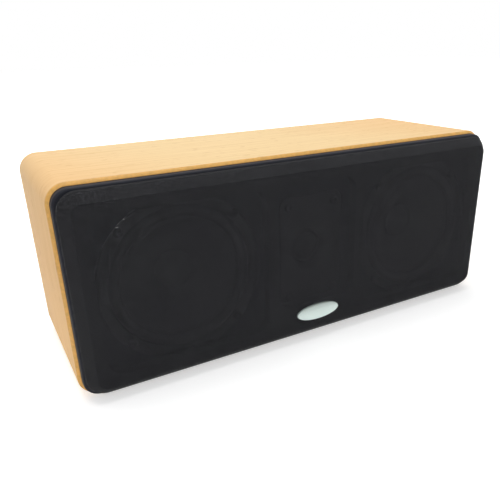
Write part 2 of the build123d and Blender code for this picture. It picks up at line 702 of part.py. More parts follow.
def polarity_marks():
    """Raised plus and minus above the posts, as moulded in the cup."""
    across = Rectangle(MARK_LENGTH, MARK_WIDTH)
    plus = across + Rectangle(MARK_WIDTH, MARK_LENGTH)
    high = mid_z + MARK_OFFSET
    return Pos(POSTS["red"], high) * plus + Pos(POSTS["black"], high) * across


def terminal_cup_gasket():
    """Foam ring under the cup's flange."""
    ring = rounded(0, mid_z, CUP_WIDTH, CUP_HEIGHT, CUP_CORNER)
    hole_width = CUP_RECESS_WIDTH + 2 * (CUP_WALL + PANEL_GAP)
    hole_height = CUP_RECESS_HEIGHT + 2 * (CUP_WALL + PANEL_GAP)
    ring -= rounded(0, mid_z, hole_width, hole_height, cup_shell_corner)
    body = plate(ring, rear_y, rear_y + CUP_GASKET)
    for x, z in cup_screw_spots:
        body -= plate(disc(x, z, CUP_SCREW["shank"] + SCREW_CLEARANCE), rear_y, rear_y + CUP_GASKET)
    return body


def post_studs():
    """Threaded posts, bored for a plug and cross-drilled for bare wire."""
    studs = []
    top = cup_floor_y + POST_TOP
    for x in POSTS.values():
        stud = plate(disc(x, mid_z, POST_RADIUS), cup_floor_y - POST_TAIL, top)
        stud -= plate(disc(x, mid_z, PLUG_RADIUS), top - PLUG_DEPTH, top)
        across = Pos(x, cup_floor_y + WIRE_HOLE_HEIGHT, mid_z) * Cylinder(WIRE_HOLE_RADIUS, 4 * POST_RADIUS)
        studs.append(stud - across)
    return group(studs)


def post_collars():
    """Insulating collars between the posts and the cup."""
    rings = []
    for x in POSTS.values():
        ring = disc(x, mid_z, COLLAR_RADIUS) - disc(x, mid_z, POST_RADIUS + SCREW_CLEARANCE)
        rings.append(plate(ring, cup_floor_y, cup_floor_y + COLLAR_HEIGHT))
    return group(rings)


def post_nuts():
    """Nuts that draw the posts tight, each over a solder tab."""
    nuts = []
    seat = cup_floor_y - CUP_WALL
    for x in POSTS.values():
        hole = disc(x, mid_z, POST_RADIUS + THREAD_CLEARANCE)
        flats = Pos(x, mid_z) * RegularPolygon(NUT_FLATS / 2, 6, major_radius=False)
        face = seat - SOLDER_TAB_THICKNESS
        nut = plate(flats - hole, face - NUT_HEIGHT, face)
        tongue = Pos(x, mid_z - SOLDER_TAB_REACH / 2) * Rectangle(SOLDER_TAB_WIDTH, SOLDER_TAB_REACH)
        tab = disc(x, mid_z, SOLDER_TAB_RADIUS) + tongue - hole
        nuts.append(nut + plate(tab, face, seat))
    return group(nuts)


def post_washer(x):
    """Clamp washer between a collar and its knob."""
    seat = cup_floor_y + COLLAR_HEIGHT + CLAMP_GAP
    ring = disc(x, mid_z, KNOB_RADIUS - 0.4) - disc(x, mid_z, POST_RADIUS + THREAD_CLEARANCE)
    return plate(ring, seat, seat + WASHER_THICKNESS)


def post_knob(x):
    """Fluted knob that runs on the thread of its post."""
    seat = cup_floor_y + COLLAR_HEIGHT + WASHER_THICKNESS + 2 * CLAMP_GAP
    section = disc(x, mid_z, KNOB_RADIUS) - disc(x, mid_z, POST_RADIUS + THREAD_CLEARANCE)
    for dx, dz in around(KNOB_FLUTES, KNOB_RADIUS + FLUTE_OFFSET, 0):
        section -= disc(x + dx, mid_z + dz, FLUTE_RADIUS)
    body = plate(section, seat, seat + KNOB_LENGTH)
    skirt = disc(x, mid_z, KNOB_RADIUS) - disc(x, mid_z, POST_RADIUS + THREAD_CLEARANCE)
    return body + plate(skirt, seat, seat + KNOB_SKIRT)


def crossover_board():
    """Circuit board on spacers behind the right woofer."""
    body = plate(rounded(board_x, mid_z, BOARD_WIDTH, BOARD_HEIGHT, 2.0), board_y, board_back_y)
    for x, z in board_screw_spots:
        body -= plate(disc(x, z, BOARD_SCREW["shank"] + SCREW_CLEARANCE), board_y, board_back_y)
    return body


def crossover_spacers():
    """Tubes that hold the board off the rear panel."""
    rings = []
    for x, z in board_screw_spots:
        ring = disc(x, z, SPACER_RADIUS) - disc(x, z, BOARD_SCREW["shank"] + SCREW_CLEARANCE)
        rings.append(plate(ring, board_back_y, rear_inner_y))
    return group(rings)


def coil(size):
    """Wound bobbin standing on the board."""
    x, z, radius, front = board_x + size["x"], mid_z + size["z"], size["radius"], board_y - size["height"]
    body = plate(disc(x, z, radius - FLANGE), front, board_y)
    for face in (front, board_y - FLANGE):
        body += plate(disc(x, z, radius), face, face + FLANGE)
    return body - plate(disc(x, z, radius * 0.35), front, board_y)


def capacitor(size):
    """Round can lying along X on the board."""
    can = Cylinder(size["radius"], size["length"], rotation=(0, 90, 0))
    spot = Pos(board_x + size["x"], board_y - size["radius"], mid_z + size["z"])
    return spot * chamfer(can.edges(), EDGE_BREAK)


def crossover_resistor():
    """Cement block with bevelled edges."""
    side = RESISTOR["side"]
    block = Box(RESISTOR["length"], side, side)
    spot = Pos(board_x + RESISTOR["x"], board_y - side / 2, mid_z + RESISTOR["z"])
    return spot * chamfer(block.edges().filter_by(Axis.X), EDGE_BREAK)


def damping_pads():
    """Soft pads on the inner walls: one on the rear panel, one above and one below."""
    half = inner_half_width - PAD_MARGIN
    rear = Box(half - CUP_MARGIN, PAD_THICKNESS, REAR_PAD_HEIGHT)
    pads = [Pos(-(half + CUP_MARGIN) / 2, rear_inner_y - PAD_THICKNESS / 2, mid_z) * rear]
    for side in (-1, 1):
        z = mid_z + side * (mid_z - WALL - WALL_PAD_THICKNESS / 2)
        pads.append(Pos(0, WALL_PAD_DEPTH / 2, z) * Box(2 * half, WALL_PAD_DEPTH, WALL_PAD_THICKNESS))
    return group(pads)


def internal_wiring():
    """Pairs of leads from the posts to the board and from the board to the drive units."""
    woofer_tab_y = baffle_y + LEDGE_DEPTH + SHEET / 2 + STRIP_THICKNESS + BLADE_LENGTH
    woofer_tab_x = woofer_x - TERMINAL_RADIUS
    tweeter_tab_y = baffle_y + tweeter_back_depth + STRIP_THICKNESS + BLADE_LENGTH
    tail_y = cup_floor_y - POST_TAIL
    far_x, far_y = board_x + FAR_WOOFER_PAD, board_y - FAR_WOOFER_LEVEL
    loop_y = board_y - TWEETER_LEVEL
    tweeter_pad_z, input_pad_z = mid_z + TWEETER_PADS["z"], mid_z + INPUT_PADS["z"]
    leads = []
    for step, post in enumerate(("black", "red")):
        z = mid_z + (step - 0.5) * TERMINAL_SPACING
        leads.append(lead([(woofer_tab_x, board_y, z), (woofer_tab_x, woofer_tab_y, z)]))
        leads.append(lead([(far_x, board_y, z), (far_x, far_y, z), (-woofer_tab_x, far_y, z),
                           (-woofer_tab_x, woofer_tab_y, z)]))
        pad_x = board_x + TWEETER_PADS["x"] + SOLDER_PITCH * step
        leads.append(lead([(0, tweeter_tab_y, z), (0, loop_y, z), (pad_x, loop_y, tweeter_pad_z),
                           (pad_x, board_y, tweeter_pad_z)]))
        pad_x = board_x + INPUT_PADS["x"] - SOLDER_PITCH * step
        depth = tail_y - INPUT_LEVEL - INPUT_STEP * (1 - step)
        leads.append(lead([(POSTS[post], tail_y, mid_z), (POSTS[post], depth, mid_z),
                           (pad_x, depth, input_pad_z), (pad_x, board_y, input_pad_z)]))
    return group(leads)


parts = {
    "cabinet_wrap": cabinet_wrap(),
    "front_baffle": front_baffle(),
    "rear_panel": rear_panel(),
    "grille_frame": grille_frame(),
    "grille_cloth": grille_cloth(),
    "grille_pegs": grille_pegs(),
    "grille_sockets": grille_sockets(),
    "badge": badge(),
    "woofer_screws": group(screw(x, z, baffle_y, WOOD_SCREW, 1) for x, z in woofer_screw_spots),
    "woofer_terminals": group(woofer_terminals(x) for x in WOOFERS.values()),
    "tweeter_faceplate": tweeter_faceplate(),
    "tweeter_dome": tweeter_dome(),
    "tweeter_surround": tweeter_surround(),
    "tweeter_voice_coil": tweeter_voice_coil(),
    "tweeter_top_plate": tweeter_top_plate(),
    "tweeter_magnet": tweeter_magnet(),
    "tweeter_yoke": tweeter_yoke(),
    "tweeter_terminals": tweeter_terminals(),
    "tweeter_screws": group(screw(x, z, baffle_y, WOOD_SCREW, 1) for x, z in tweeter_screw_spots),
    "terminal_cup": terminal_cup(),
    "terminal_cup_gasket": terminal_cup_gasket(),
    "terminal_cup_screws": group(screw(x, z, cup_y, CUP_SCREW, -1) for x, z in cup_screw_spots),
    "post_studs": post_studs(),
    "post_collars": post_collars(),
    "post_nuts": post_nuts(),
    "crossover_board": crossover_board(),
    "crossover_spacers": crossover_spacers(),
    "crossover_screws": group(screw(x, z, board_y, BOARD_SCREW, 1) for x, z in board_screw_spots),
    "woofer_inductor": coil(WOOFER_COIL),
    "tweeter_inductor": coil(TWEETER_COIL),
    "crossover_capacitors": group([capacitor(LARGE_CAN), capacitor(SMALL_CAN)]),
    "crossover_resistor": crossover_resistor(),
    "damping_pads": damping_pads(),
    "internal_wiring": internal_wiring(),
}
for name, x in WOOFERS.items():
    parts[f"{name}_woofer_basket"] = woofer_basket(x)
    parts[f"{name}_woofer_trim_ring"] = woofer_trim_ring(x)
    parts[f"{name}_woofer_surround"] = woofer_surround(x)
    parts[f"{name}_woofer_cone"] = woofer_cone(x)
    parts[f"{name}_woofer_dust_cap"] = woofer_dust_cap(x)
    parts[f"{name}_woofer_spider"] = woofer_spider(x)
    parts[f"{name}_woofer_voice_coil"] = woofer_voice_coil(x)
    parts[f"{name}_woofer_top_plate"] = woofer_top_plate(x)
    parts[f"{name}_woofer_magnet"] = woofer_magnet(x)
    parts[f"{name}_woofer_yoke"] = woofer_yoke(x)
for name, x in POSTS.items():
    parts[f"{name}_post_washer"] = post_washer(x)
    parts[f"{name}_post_knob"] = post_knob(x)

os.makedirs("parts", exist_ok=True)
for node, shape in parts.items():
    export_step(shape, f"parts/{node}.step")
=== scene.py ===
"""Center channel speaker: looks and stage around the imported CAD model."""

import math

import bmesh
import bpy
from bpy.props import FloatProperty, IntProperty, PointerProperty, StringProperty
from mathutils import Matrix, Quaternion, Vector


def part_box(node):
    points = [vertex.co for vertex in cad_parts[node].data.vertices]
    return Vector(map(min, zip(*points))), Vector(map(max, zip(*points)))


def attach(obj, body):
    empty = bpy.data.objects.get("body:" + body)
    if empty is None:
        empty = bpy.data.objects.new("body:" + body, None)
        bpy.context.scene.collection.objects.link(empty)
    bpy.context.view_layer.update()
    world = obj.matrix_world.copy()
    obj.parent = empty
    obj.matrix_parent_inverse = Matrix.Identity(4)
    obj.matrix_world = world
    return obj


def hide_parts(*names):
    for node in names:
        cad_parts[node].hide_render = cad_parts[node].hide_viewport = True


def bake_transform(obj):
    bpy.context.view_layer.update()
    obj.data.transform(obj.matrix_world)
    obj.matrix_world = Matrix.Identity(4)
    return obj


bl_info = {
    "name": "Center Channel Speaker",
    "version": (1, 0, 0),
    "blender": (4, 5, 0),
    "location": "View3D > Sidebar > Speaker",
    "description": "Dresses the packed speaker model: veneer, cloth grille, drive units and terminals",
    "category": "Object",
}

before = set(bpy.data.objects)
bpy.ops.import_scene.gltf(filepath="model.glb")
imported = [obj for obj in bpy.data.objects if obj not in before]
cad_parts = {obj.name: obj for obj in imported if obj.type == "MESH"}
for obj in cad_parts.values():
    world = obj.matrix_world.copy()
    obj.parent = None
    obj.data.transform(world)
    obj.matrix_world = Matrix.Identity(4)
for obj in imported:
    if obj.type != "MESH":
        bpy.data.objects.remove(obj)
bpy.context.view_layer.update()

MM = 0.001
SIDES = ("left", "right")
WRAP_LOW, WRAP_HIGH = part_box("cabinet_wrap")
BAFFLE_LOW, BAFFLE_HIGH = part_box("front_baffle")
CLOTH_LOW, CLOTH_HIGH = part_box("grille_cloth")
BADGE_LOW, BADGE_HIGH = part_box("badge")
REAR_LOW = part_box("rear_panel")[0]
MIDDLE_Z = (WRAP_LOW.z + WRAP_HIGH.z) / 2

# Lengths that the boxes of the CAD nodes don't give
WALL = 15 * MM
REAR_LIP = 5 * MM
LEAST_CORNER = 1.5 * MM
TURN_IN = 6.8 * MM
CLOTH_FLAT = 30 * MM
HEM_BEND = 0.5 * MM
BADGE_FIELD, BADGE_DISH, BADGE_HEART = 0.5 * MM, 0.7 * MM, 0.4 * MM
POST_BORE = 3.08 * MM
KNOB_GROOVE = 0.55 * MM

# Woofer, in millimetres: radii, and depths behind the baffle's face
RING = [(60.2, 2.2), (60.2, 0.9), (60.45, 0.45), (60.85, 0.12), (61.4, 0.0), (68.4, 0.0), (68.8, 0.12),
        (68.95, 0.212), (70.0, 0.858), (70.15, 0.95), (70.4, 1.3), (70.4, 2.8), (63.2, 2.8), (63.2, 2.2)]
CONE_EDGE, CONE_LIP, CONE_NECK = 51.0, 47.6, 13.5
CONE_START, CONE_DEPTH, CONE_FLARE = 3.2, 22.4, 1.15
ROLL_CENTRE, ROLL_RADIUS, ROLL_DEPTH, ROLL_END = 55.5, 4.2, 2.5, 63.1
CAP_RADIUS, CAP_HEIGHT, CAP_RIM = 17.0, 6.0, 21.6
SPIDER_EDGE, SPIDER_FIRST, SPIDER_LAST, SPIDER_DEPTH = 42.0, 36.0, 13.4, 28.1
SPIDER_PITCH, SPIDER_WAVE = 5.2, 1.3

# Tweeter, in the same way
DOME_RADIUS, DOME_HEIGHT, DOME_RIM = 12.7, 5.0, 10.0
DOME_ROLL_CENTRE, DOME_ROLL_RADIUS, DOME_ROLL_DEPTH, DOME_ROLL_END = 13.9, 0.85, 10.2, 22.0

# Thickness of the pressed and moulded sheets, in millimetres
ROLL_SHEET, SPIDER_SHEET, CONE_SHEET, CAP_SHEET, DOME_SHEET = 0.6, 0.5, 0.8, 0.6, 0.4

# Real size of the patterns in the finishes; a pair is along and across the grain
STREAK, FLECK = (110 * MM, 3 * MM), (14 * MM, 2.6 * MM)
END_GRAIN, MOTTLE, YARN, CLOUD, LEAD_GRAIN = 3 * MM, 22 * MM, 2.4 * MM, 60 * MM, 2 * MM
BRUSH = (6 * MM, 1 * MM, 0.3 * MM)
# This scale makes the veneer's rosy patches come back every 590 mm along the wrap
PATCH_SCALE, PATCH_PHASE = 0.532, 0.747

# Stage, in metres, degrees and watts
FLOOR_SIZE, FLOOR_DROP = 8.0, 0.3 * MM
FLOOR_GREY = (0.88, 0.88, 0.88, 1.0)
GLOW_FROM, GLOW_TO = 0.3, 1.2
GLOW_NEAR, GLOW_FAR = 0.5, 1.0
SKY_HORIZON, SKY_TOP = 0.36, 0.46
# Each lamp: name, place, width and height, tilt about its own axis, power
LAMPS = (("overhead", (-0.06, 0.2, 1.6), (1.1, 1.1), 0, 13.7),
         ("strip_lamp", (-0.885, -1.272, 0.954), (0.56, 0.02), 50.7, 4.0),
         ("low_fill", (-0.32, -0.02, 0.015), (0.16, 0.01), 0, 0.014))
CAMERA_PLACE = (-0.2580, -0.4506, 0.2573)
CAMERA_YAW_PITCH_ROLL = (29.68, 22.78, 1.18)
SENSOR_MM, LENS_MM = 36.0, 38.65
SHIFT_X, SHIFT_Y = -0.0474, 0.0462
NEAR_CLIP = 0.01


def centre_of(node):
    """Middle of a CAD node's box."""
    low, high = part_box(node)
    return (low + high) / 2


def length_property(name, description, millimetres):
    """A length, given in millimetres and held in metres."""
    return FloatProperty(name=name, description=description, default=millimetres * MM, subtype="DISTANCE")


class SpeakerSizes(bpy.types.PropertyGroup):
    """Sizes of the dressed pieces that a user would change."""

    corner_radius: length_property("Corner Radius", "Round of the cabinet's long corners", 16)
    front_slope: length_property("Front Slope", "Width of the sloping front edge of the wood", 2.5)
    back_round: length_property("Back Round", "Round of the wood's back edge", 0.8)
    front_lip: length_property("Front Lip", "Width of the wood that shows around the baffle", 2.8)
    grille_chamfer: length_property("Grille Chamfer", "Width of the sloping rim of the grille", 8)
    grille_corner: length_property(
        "Grille Corner", "Round of the grille's corners, larger than the baffle's", 16)
    cloth_thickness: length_property("Cloth Thickness", "Thickness of the stretched knit", 0.4)
    cloth_bend: length_property("Cloth Bend", "Round of the cloth where it goes over the frame's edges", 4)
    knit_pitch: length_property("Knit Pitch", "Spacing of the knit's loops, drawn coarse enough to show", 1.6)
    badge_rim: length_property("Badge Rim", "Width of the badge's raised rim", 1.1)
    knob_flutes: IntProperty(
        name="Knob Flutes", description="Number of grooves around a terminal's knob", default=12, min=3)
    wood_screw_head: length_property("Wood Screw Head", "Radius of the drive units' screw heads", 4)
    cup_screw_head: length_property("Cup Screw Head", "Radius of the terminal cup's screw heads", 3.2)


def colour_property(name, description, default):
    """A colour held as an sRGB hex value."""
    return StringProperty(name=name, description=description, default=default)


class SpeakerColours(bpy.types.PropertyGroup):
    """Colours of the finishes, as sRGB hex values."""

    veneer: colour_property("Veneer", "Pale ground of the maple veneer", "#F8DAA8")
    veneer_rosy: colour_property("Veneer Rosy", "Rosier patches of the maple", "#F7CC95")
    veneer_edge: colour_property("Veneer Edge", "Lacquered edge of the wood around the baffle", "#E7B160")
    fibreboard: colour_property("Fibreboard", "Bare board inside the cabinet", "#A5835C")
    baffle: colour_property("Baffle", "Satin black paint with a blue cast", "#25262E")
    cloth: colour_property("Cloth", "Black knit of the grille", "#434446")
    badge: colour_property("Badge", "Brushed metal of the oval plate", "#E8F6F1")
    plastic: colour_property("Plastic", "Black moulded plastic", "#1C1C1E")
    vinyl: colour_property("Vinyl", "Black covering of the rear panel", "#212123")
    rubber: colour_property("Rubber", "Surrounds and sockets", "#161618")
    cone: colour_property("Cone", "Coated pulp of the cones", "#232327")
    silk: colour_property("Silk", "Coated silk of the dome", "#1B1B20")
    red: colour_property("Red", "Positive terminal", "#A81A1A")
    plating: colour_property("Plating", "Gold plating of the posts", "#D9B15C")
    wadding: colour_property("Wadding", "Fibre of the damping pads", "#E2E1DA")


def linear(hex_value):
    """sRGB hex to linear RGBA."""
    channels = [int(hex_value[i:i + 2], 16) / 255 for i in (1, 3, 5)]
    return tuple(c / 12.92 if c <= 0.04045 else ((c + 0.055) / 1.055) ** 2.4 for c in channels) + (1.0,)


def shade(colour, factor):
    """Linear colour made darker or lighter."""
    return tuple(c * factor for c in colour[:3]) + (1.0,)


def add(tree, kind, inputs=None, stops=None, out=0, **settings):
    """Adds a node with its settings, ramp stops, and inputs set or linked by name or number.

    It gives the output that is named or numbered, or all of them where that is None or the node has none.
    """
    node = tree.nodes.new(kind)
    for key, value in settings.items():
        setattr(node, key, value)
    for key, value in (inputs or {}).items():
        if isinstance(value, bpy.types.NodeSocket):
            tree.links.new(value, node.inputs[key])
        else:
            node.inputs[key].default_value = value
    if stops:
        elements = node.color_ramp.elements
        elements[0].position, elements[0].color = stops[0]
        elements[1].position, elements[1].color = stops[-1]
        for position, colour in stops[1:-1]:
            elements.new(position).color = colour
    return node.outputs if out is None or not node.outputs else node.outputs[out]


def new_material(name):
    """Empty node material and its tree."""
    material = bpy.data.materials.new(name)
    material.use_nodes = True
    material.node_tree.nodes.clear()
    return material, material.node_tree


WHITE = (1.0, 1.0, 1.0, 1.0)
STREAK_TINT, FLECK_TINT = (0.90, 0.86, 0.79, 1.0), (0.74, 0.62, 0.48, 1.0)
TINTED = {"data_type": "RGBA", "blend_type": "MULTIPLY", "out": 2}


# Sliced maple under satin lacquer: an even pale ground, rosy patches, hair-fine streaks and a few flecks
def maple_veneer(colours):
    material, tree = new_material("maple_veneer")
    uv = add(tree, "ShaderNodeTexCoord", out="UV")
    streak_at, fleck_at = (
        add(tree, "ShaderNodeMapping", {0: uv, "Scale": (1 / along, 1 / across, 1)})
        for along, across in (STREAK, FLECK))
    patch = add(tree, "ShaderNodeTexWave", {
        "Vector": uv, "Scale": PATCH_SCALE, "Distortion": 2.0, "Detail": 2.0, "Detail Scale": 3.0,
        "Phase Offset": PATCH_PHASE}, out="Fac")
    streak = add(tree, "ShaderNodeTexNoise", {
        "Vector": streak_at, "Scale": 1, "Detail": 5, "Roughness": 0.6, "Distortion": 0.2}, out="Fac")
    fleck = add(tree, "ShaderNodeTexNoise", {"Vector": fleck_at, "Scale": 1, "Detail": 1}, out="Fac")
    ground = add(tree, "ShaderNodeValToRGB", {0: patch}, [
        (0.0, linear(colours.veneer_rosy)), (0.9, linear(colours.veneer))])
    lines = add(tree, "ShaderNodeValToRGB", {0: streak}, [(0.30, STREAK_TINT), (0.60, WHITE)])
    dashes = add(tree, "ShaderNodeValToRGB", {0: fleck}, [(0.27, FLECK_TINT), (0.33, WHITE)])
    lined = add(tree, "ShaderNodeMix", {0: 1.0, 6: ground, 7: lines}, **TINTED)
    flecked = add(tree, "ShaderNodeMix", {0: 0.7, 6: lined, 7: dashes}, **TINTED)
    rough = add(tree, "ShaderNodeMapRange", {0: streak, "To Min": 0.66, "To Max": 0.54})
    bump = add(tree, "ShaderNodeBump", {"Height": streak, "Strength": 0.05, "Distance": 0.4 * MM})
    shader = add(tree, "ShaderNodeBsdfPrincipled", {
        "Base Color": flecked, "Roughness": rough, "Specular IOR Level": 0.08, "Normal": bump})
    add(tree, "ShaderNodeOutputMaterial", {0: shader})
    return material


# Edge of the wood: end grain drinks the lacquer, so it shows a deeper amber with short dark strokes
def maple_edge(colours):
    material, tree = new_material("maple_edge")
    at = add(tree, "ShaderNodeTexCoord", out="Object")
    noise = add(tree, "ShaderNodeTexNoise", {0: at, "Scale": 1 / END_GRAIN, "Detail": 3}, out="Fac")
    amber = linear(colours.veneer_edge)
    tint = add(tree, "ShaderNodeValToRGB", {0: noise}, [
        (0.3, shade(amber, 0.88)), (0.65, shade(amber, 1.08))])
    rough = add(tree, "ShaderNodeMapRange", {0: noise, "To Min": 0.36, "To Max": 0.5})
    shader = add(tree, "ShaderNodeBsdfPrincipled", {
        "Base Color": tint, "Roughness": rough, "Specular IOR Level": 0.3})
    add(tree, "ShaderNodeOutputMaterial", {0: shader})
    return material


def finish(name, colour, roughness, grain, bump=0.1, depth=0.05, vary=0.18, spread=0.06, **sockets):
    """Moulded, painted, cast or plated surface: a mottled colour, and a grain in its gloss.

    The grain's size and depth are in millimetres. The colour darkens by up to vary, the roughness swings by
    spread, and sockets are set on the shader.
    """
    material, tree = new_material(name)
    at = add(tree, "ShaderNodeTexCoord", out="Object")
    fine = add(tree, "ShaderNodeTexNoise", {0: at, "Scale": 1 / (grain * MM), "Detail": 2}, out="Fac")
    broad = add(tree, "ShaderNodeTexNoise", {0: at, "Scale": 1 / MOTTLE, "Detail": 3}, out="Fac")
    base = linear(colour)
    tint = add(tree, "ShaderNodeValToRGB", {0: broad}, [(0.3, shade(base, 1 - vary)), (0.7, base)])
    rough = add(tree, "ShaderNodeMapRange", {
        0: fine, "To Min": roughness - spread, "To Max": roughness + spread})
    normal = add(tree, "ShaderNodeBump", {"Height": fine, "Strength": bump, "Distance": depth * MM})
    shader = add(tree, "ShaderNodeBsdfPrincipled", {
        "Base Color": tint, "Roughness": rough, "Normal": normal, **sockets})
    add(tree, "ShaderNodeOutputMaterial", {0: shader})
    return material


# Brushed aluminium under clear lacquer: pale with a faint green cast; a painted reflection keeps it bright
# low down, where it faces the light of the shelf, and painted shade greys it towards its upper edge
def badge_metal_painted_shade(colours):
    material, tree = new_material("aluminium_with_painted_shade")
    at = add(tree, "ShaderNodeTexCoord", out="Object")
    height = add(tree, "ShaderNodeSeparateXYZ", {0: at}, out="Z")
    share = add(tree, "ShaderNodeMapRange", {0: height, "From Min": BADGE_LOW.z, "From Max": BADGE_HIGH.z})
    along = add(tree, "ShaderNodeMapping", {0: at, "Scale": tuple(1 / size for size in BRUSH)})
    brush = add(tree, "ShaderNodeTexNoise", {0: along, "Scale": 1, "Detail": 2}, out="Fac")
    pale = linear(colours.badge)
    # Painted shade and reflection: full colour at the lower edge, greying with height to four tenths at the
    # upper edge
    tint = add(tree, "ShaderNodeValToRGB", {0: share}, [
        (0.1, pale), (0.55, shade(pale, 0.9)), (0.82, shade(pale, 0.7)), (0.98, shade(pale, 0.4))])
    rough = add(tree, "ShaderNodeMapRange", {0: brush, "To Min": 0.36, "To Max": 0.48})
    normal = add(tree, "ShaderNodeBump", {"Height": brush, "Strength": 0.12, "Distance": 0.03 * MM})
    shader = add(tree, "ShaderNodeBsdfPrincipled", {
        "Base Color": tint, "Roughness": rough, "Normal": normal, "Metallic": 0.4})
    add(tree, "ShaderNodeOutputMaterial", {0: shader})
    return material


# Acoustic knit of dull polyester: rows of small loops with painted light on their crowns and painted shade in
# their gaps, uneven yarn, a soft bloom at a slant, thin enough for the drive units to show faintly; the loops
# are drawn coarser than the real half millimetre
def acoustic_knit(colours, sizes):
    material, tree = new_material("acoustic_knit")
    uv = add(tree, "ShaderNodeTexCoord", out="UV")
    pitch = sizes.knit_pitch
    at = add(tree, "ShaderNodeMapping", {0: uv, "Scale": (1 / pitch, 1 / pitch, 1)})
    loops = add(tree, "ShaderNodeTexVoronoi", {"Vector": at, "Scale": 1, "Randomness": 0.6},
                feature="F1", out="Distance")
    yarn = add(tree, "ShaderNodeTexNoise", {
        0: uv, "Scale": 1 / YARN, "Detail": 3, "Roughness": 0.65}, out="Fac")
    cloud = add(tree, "ShaderNodeTexNoise", {0: uv, "Scale": 1 / CLOUD, "Detail": 2}, out="Fac")
    base = linear(colours.cloth)
    # Partly the knit's pattern, partly painted light and shade: each loop's crown lighter, the gap around it
    # darker
    loop_light_and_shade = add(tree, "ShaderNodeValToRGB", {0: loops}, [
        (0.1, shade(base, 1.42)), (0.65, shade(base, 0.48))])
    uneven = add(tree, "ShaderNodeValToRGB", {0: yarn}, [
        (0.36, (0.9, 0.9, 0.91, 1)), (0.64, (1.08, 1.07, 1.09, 1))])
    patchy = add(tree, "ShaderNodeValToRGB", {0: cloud}, [(0.3, (0.92, 0.9, 0.94, 1)), (0.7, WHITE)])
    mixed = add(tree, "ShaderNodeMix", {0: 1.0, 6: loop_light_and_shade, 7: uneven}, **TINTED)
    colour = add(tree, "ShaderNodeMix", {0: 1.0, 6: mixed, 7: patchy}, **TINTED)
    height = add(tree, "ShaderNodeMath", {0: yarn, 1: loops}, operation="SUBTRACT")
    normal = add(tree, "ShaderNodeBump", {"Height": height, "Strength": 0.15, "Distance": 0.4 * MM})
    shader = add(tree, "ShaderNodeBsdfPrincipled", {
        "Base Color": colour, "Roughness": 0.9, "Normal": normal, "Specular IOR Level": 0.08,
        "Sheen Weight": 0.12, "Sheen Roughness": 0.5, "Alpha": 0.56})
    add(tree, "ShaderNodeOutputMaterial", {0: shader})
    return material


# Smooth plastic on two-colour leads: red above the middle, black below it, a dull shine on both
def lead_insulation(colours):
    material, tree = new_material("pvc_insulation")
    at = add(tree, "ShaderNodeTexCoord", out="Object")
    height = add(tree, "ShaderNodeSeparateXYZ", {0: at}, out="Z")
    above = add(tree, "ShaderNodeMath", {0: height, 1: MIDDLE_Z}, operation="GREATER_THAN")
    noise = add(tree, "ShaderNodeTexNoise", {0: at, "Scale": 1 / LEAD_GRAIN, "Detail": 2}, out="Fac")
    tint = add(tree, "ShaderNodeValToRGB", {0: above}, [
        (0.4, linear(colours.plastic)), (0.6, linear(colours.red))])
    rough = add(tree, "ShaderNodeMapRange", {0: noise, "To Min": 0.35, "To Max": 0.5})
    shader = add(tree, "ShaderNodeBsdfPrincipled", {"Base Color": tint, "Roughness": rough})
    add(tree, "ShaderNodeOutputMaterial", {0: shader})
    return material


def around(count):
    """Angles of a full turn in equal steps."""
    return [2 * math.pi * i / count for i in range(count)]


def shares(steps):
    """Fractions from nought to one in equal steps."""
    return [i / steps for i in range(steps + 1)]


def run_along(points):
    """Length of a path up to each of its points."""
    reach = [0.0]
    for (x0, y0), (x1, y1) in zip(points, points[1:]):
        reach.append(reach[-1] + math.hypot(x1 - x0, y1 - y0))
    return reach


def rounded_outline(width, height, radius, steps=20):
    """Points of a rounded rectangle about the origin, in X and Z."""
    points = []
    for sx, sz, first in ((1, 1, 0), (-1, 1, 90), (-1, -1, 180), (1, -1, 270)):
        for i in range(steps + 1):
            a = math.radians(first + 90 * i / steps)
            points.append((sx * (width / 2 - radius) + radius * math.cos(a),
                           sz * (height / 2 - radius) + radius * math.sin(a)))
    return points


def cabinet_outline(inset, radius):
    """Cabinet outline in X and Z, moved in all round."""
    width = WRAP_HIGH.x - WRAP_LOW.x - 2 * inset
    height = WRAP_HIGH.z - WRAP_LOW.z - 2 * inset
    return [(x, z + MIDDLE_Z) for x, z in rounded_outline(width, height, max(radius - inset, LEAST_CORNER))]


def link(name, data):
    """New object in the scene."""
    made = bpy.data.objects.new(name, data)
    bpy.context.scene.collection.objects.link(made)
    return made


def object_from(name, bm, materials, sharp=35.0):
    """Object at the origin from a bmesh, smooth except at sharp edges."""
    bmesh.ops.recalc_face_normals(bm, faces=bm.faces)
    mesh = bpy.data.meshes.new(name)
    bm.to_mesh(mesh)
    bm.free()
    for material in materials:
        mesh.materials.append(material)
    mesh.polygons.foreach_set("use_smooth", [True] * len(mesh.polygons))
    mesh.set_sharp_from_angle(angle=math.radians(sharp))
    return link(name, mesh)


def skin(bm, rings, closed=False, capped=False, materials=None):
    """Quads between rings of equal length; closed joins the last ring to the first, capped fills both."""
    pairs = list(zip(rings, rings[1:])) + ([(rings[-1], rings[0])] if closed else [])
    for number, (a, b) in enumerate(pairs):
        for i in range(len(a)):
            j = (i + 1) % len(a)
            face = bm.faces.new((a[i], a[j], b[j], b[i]))
            face.material_index = materials[number] if materials else 0
    if capped:
        bm.faces.new(rings[0])
        bm.faces.new(rings[-1])


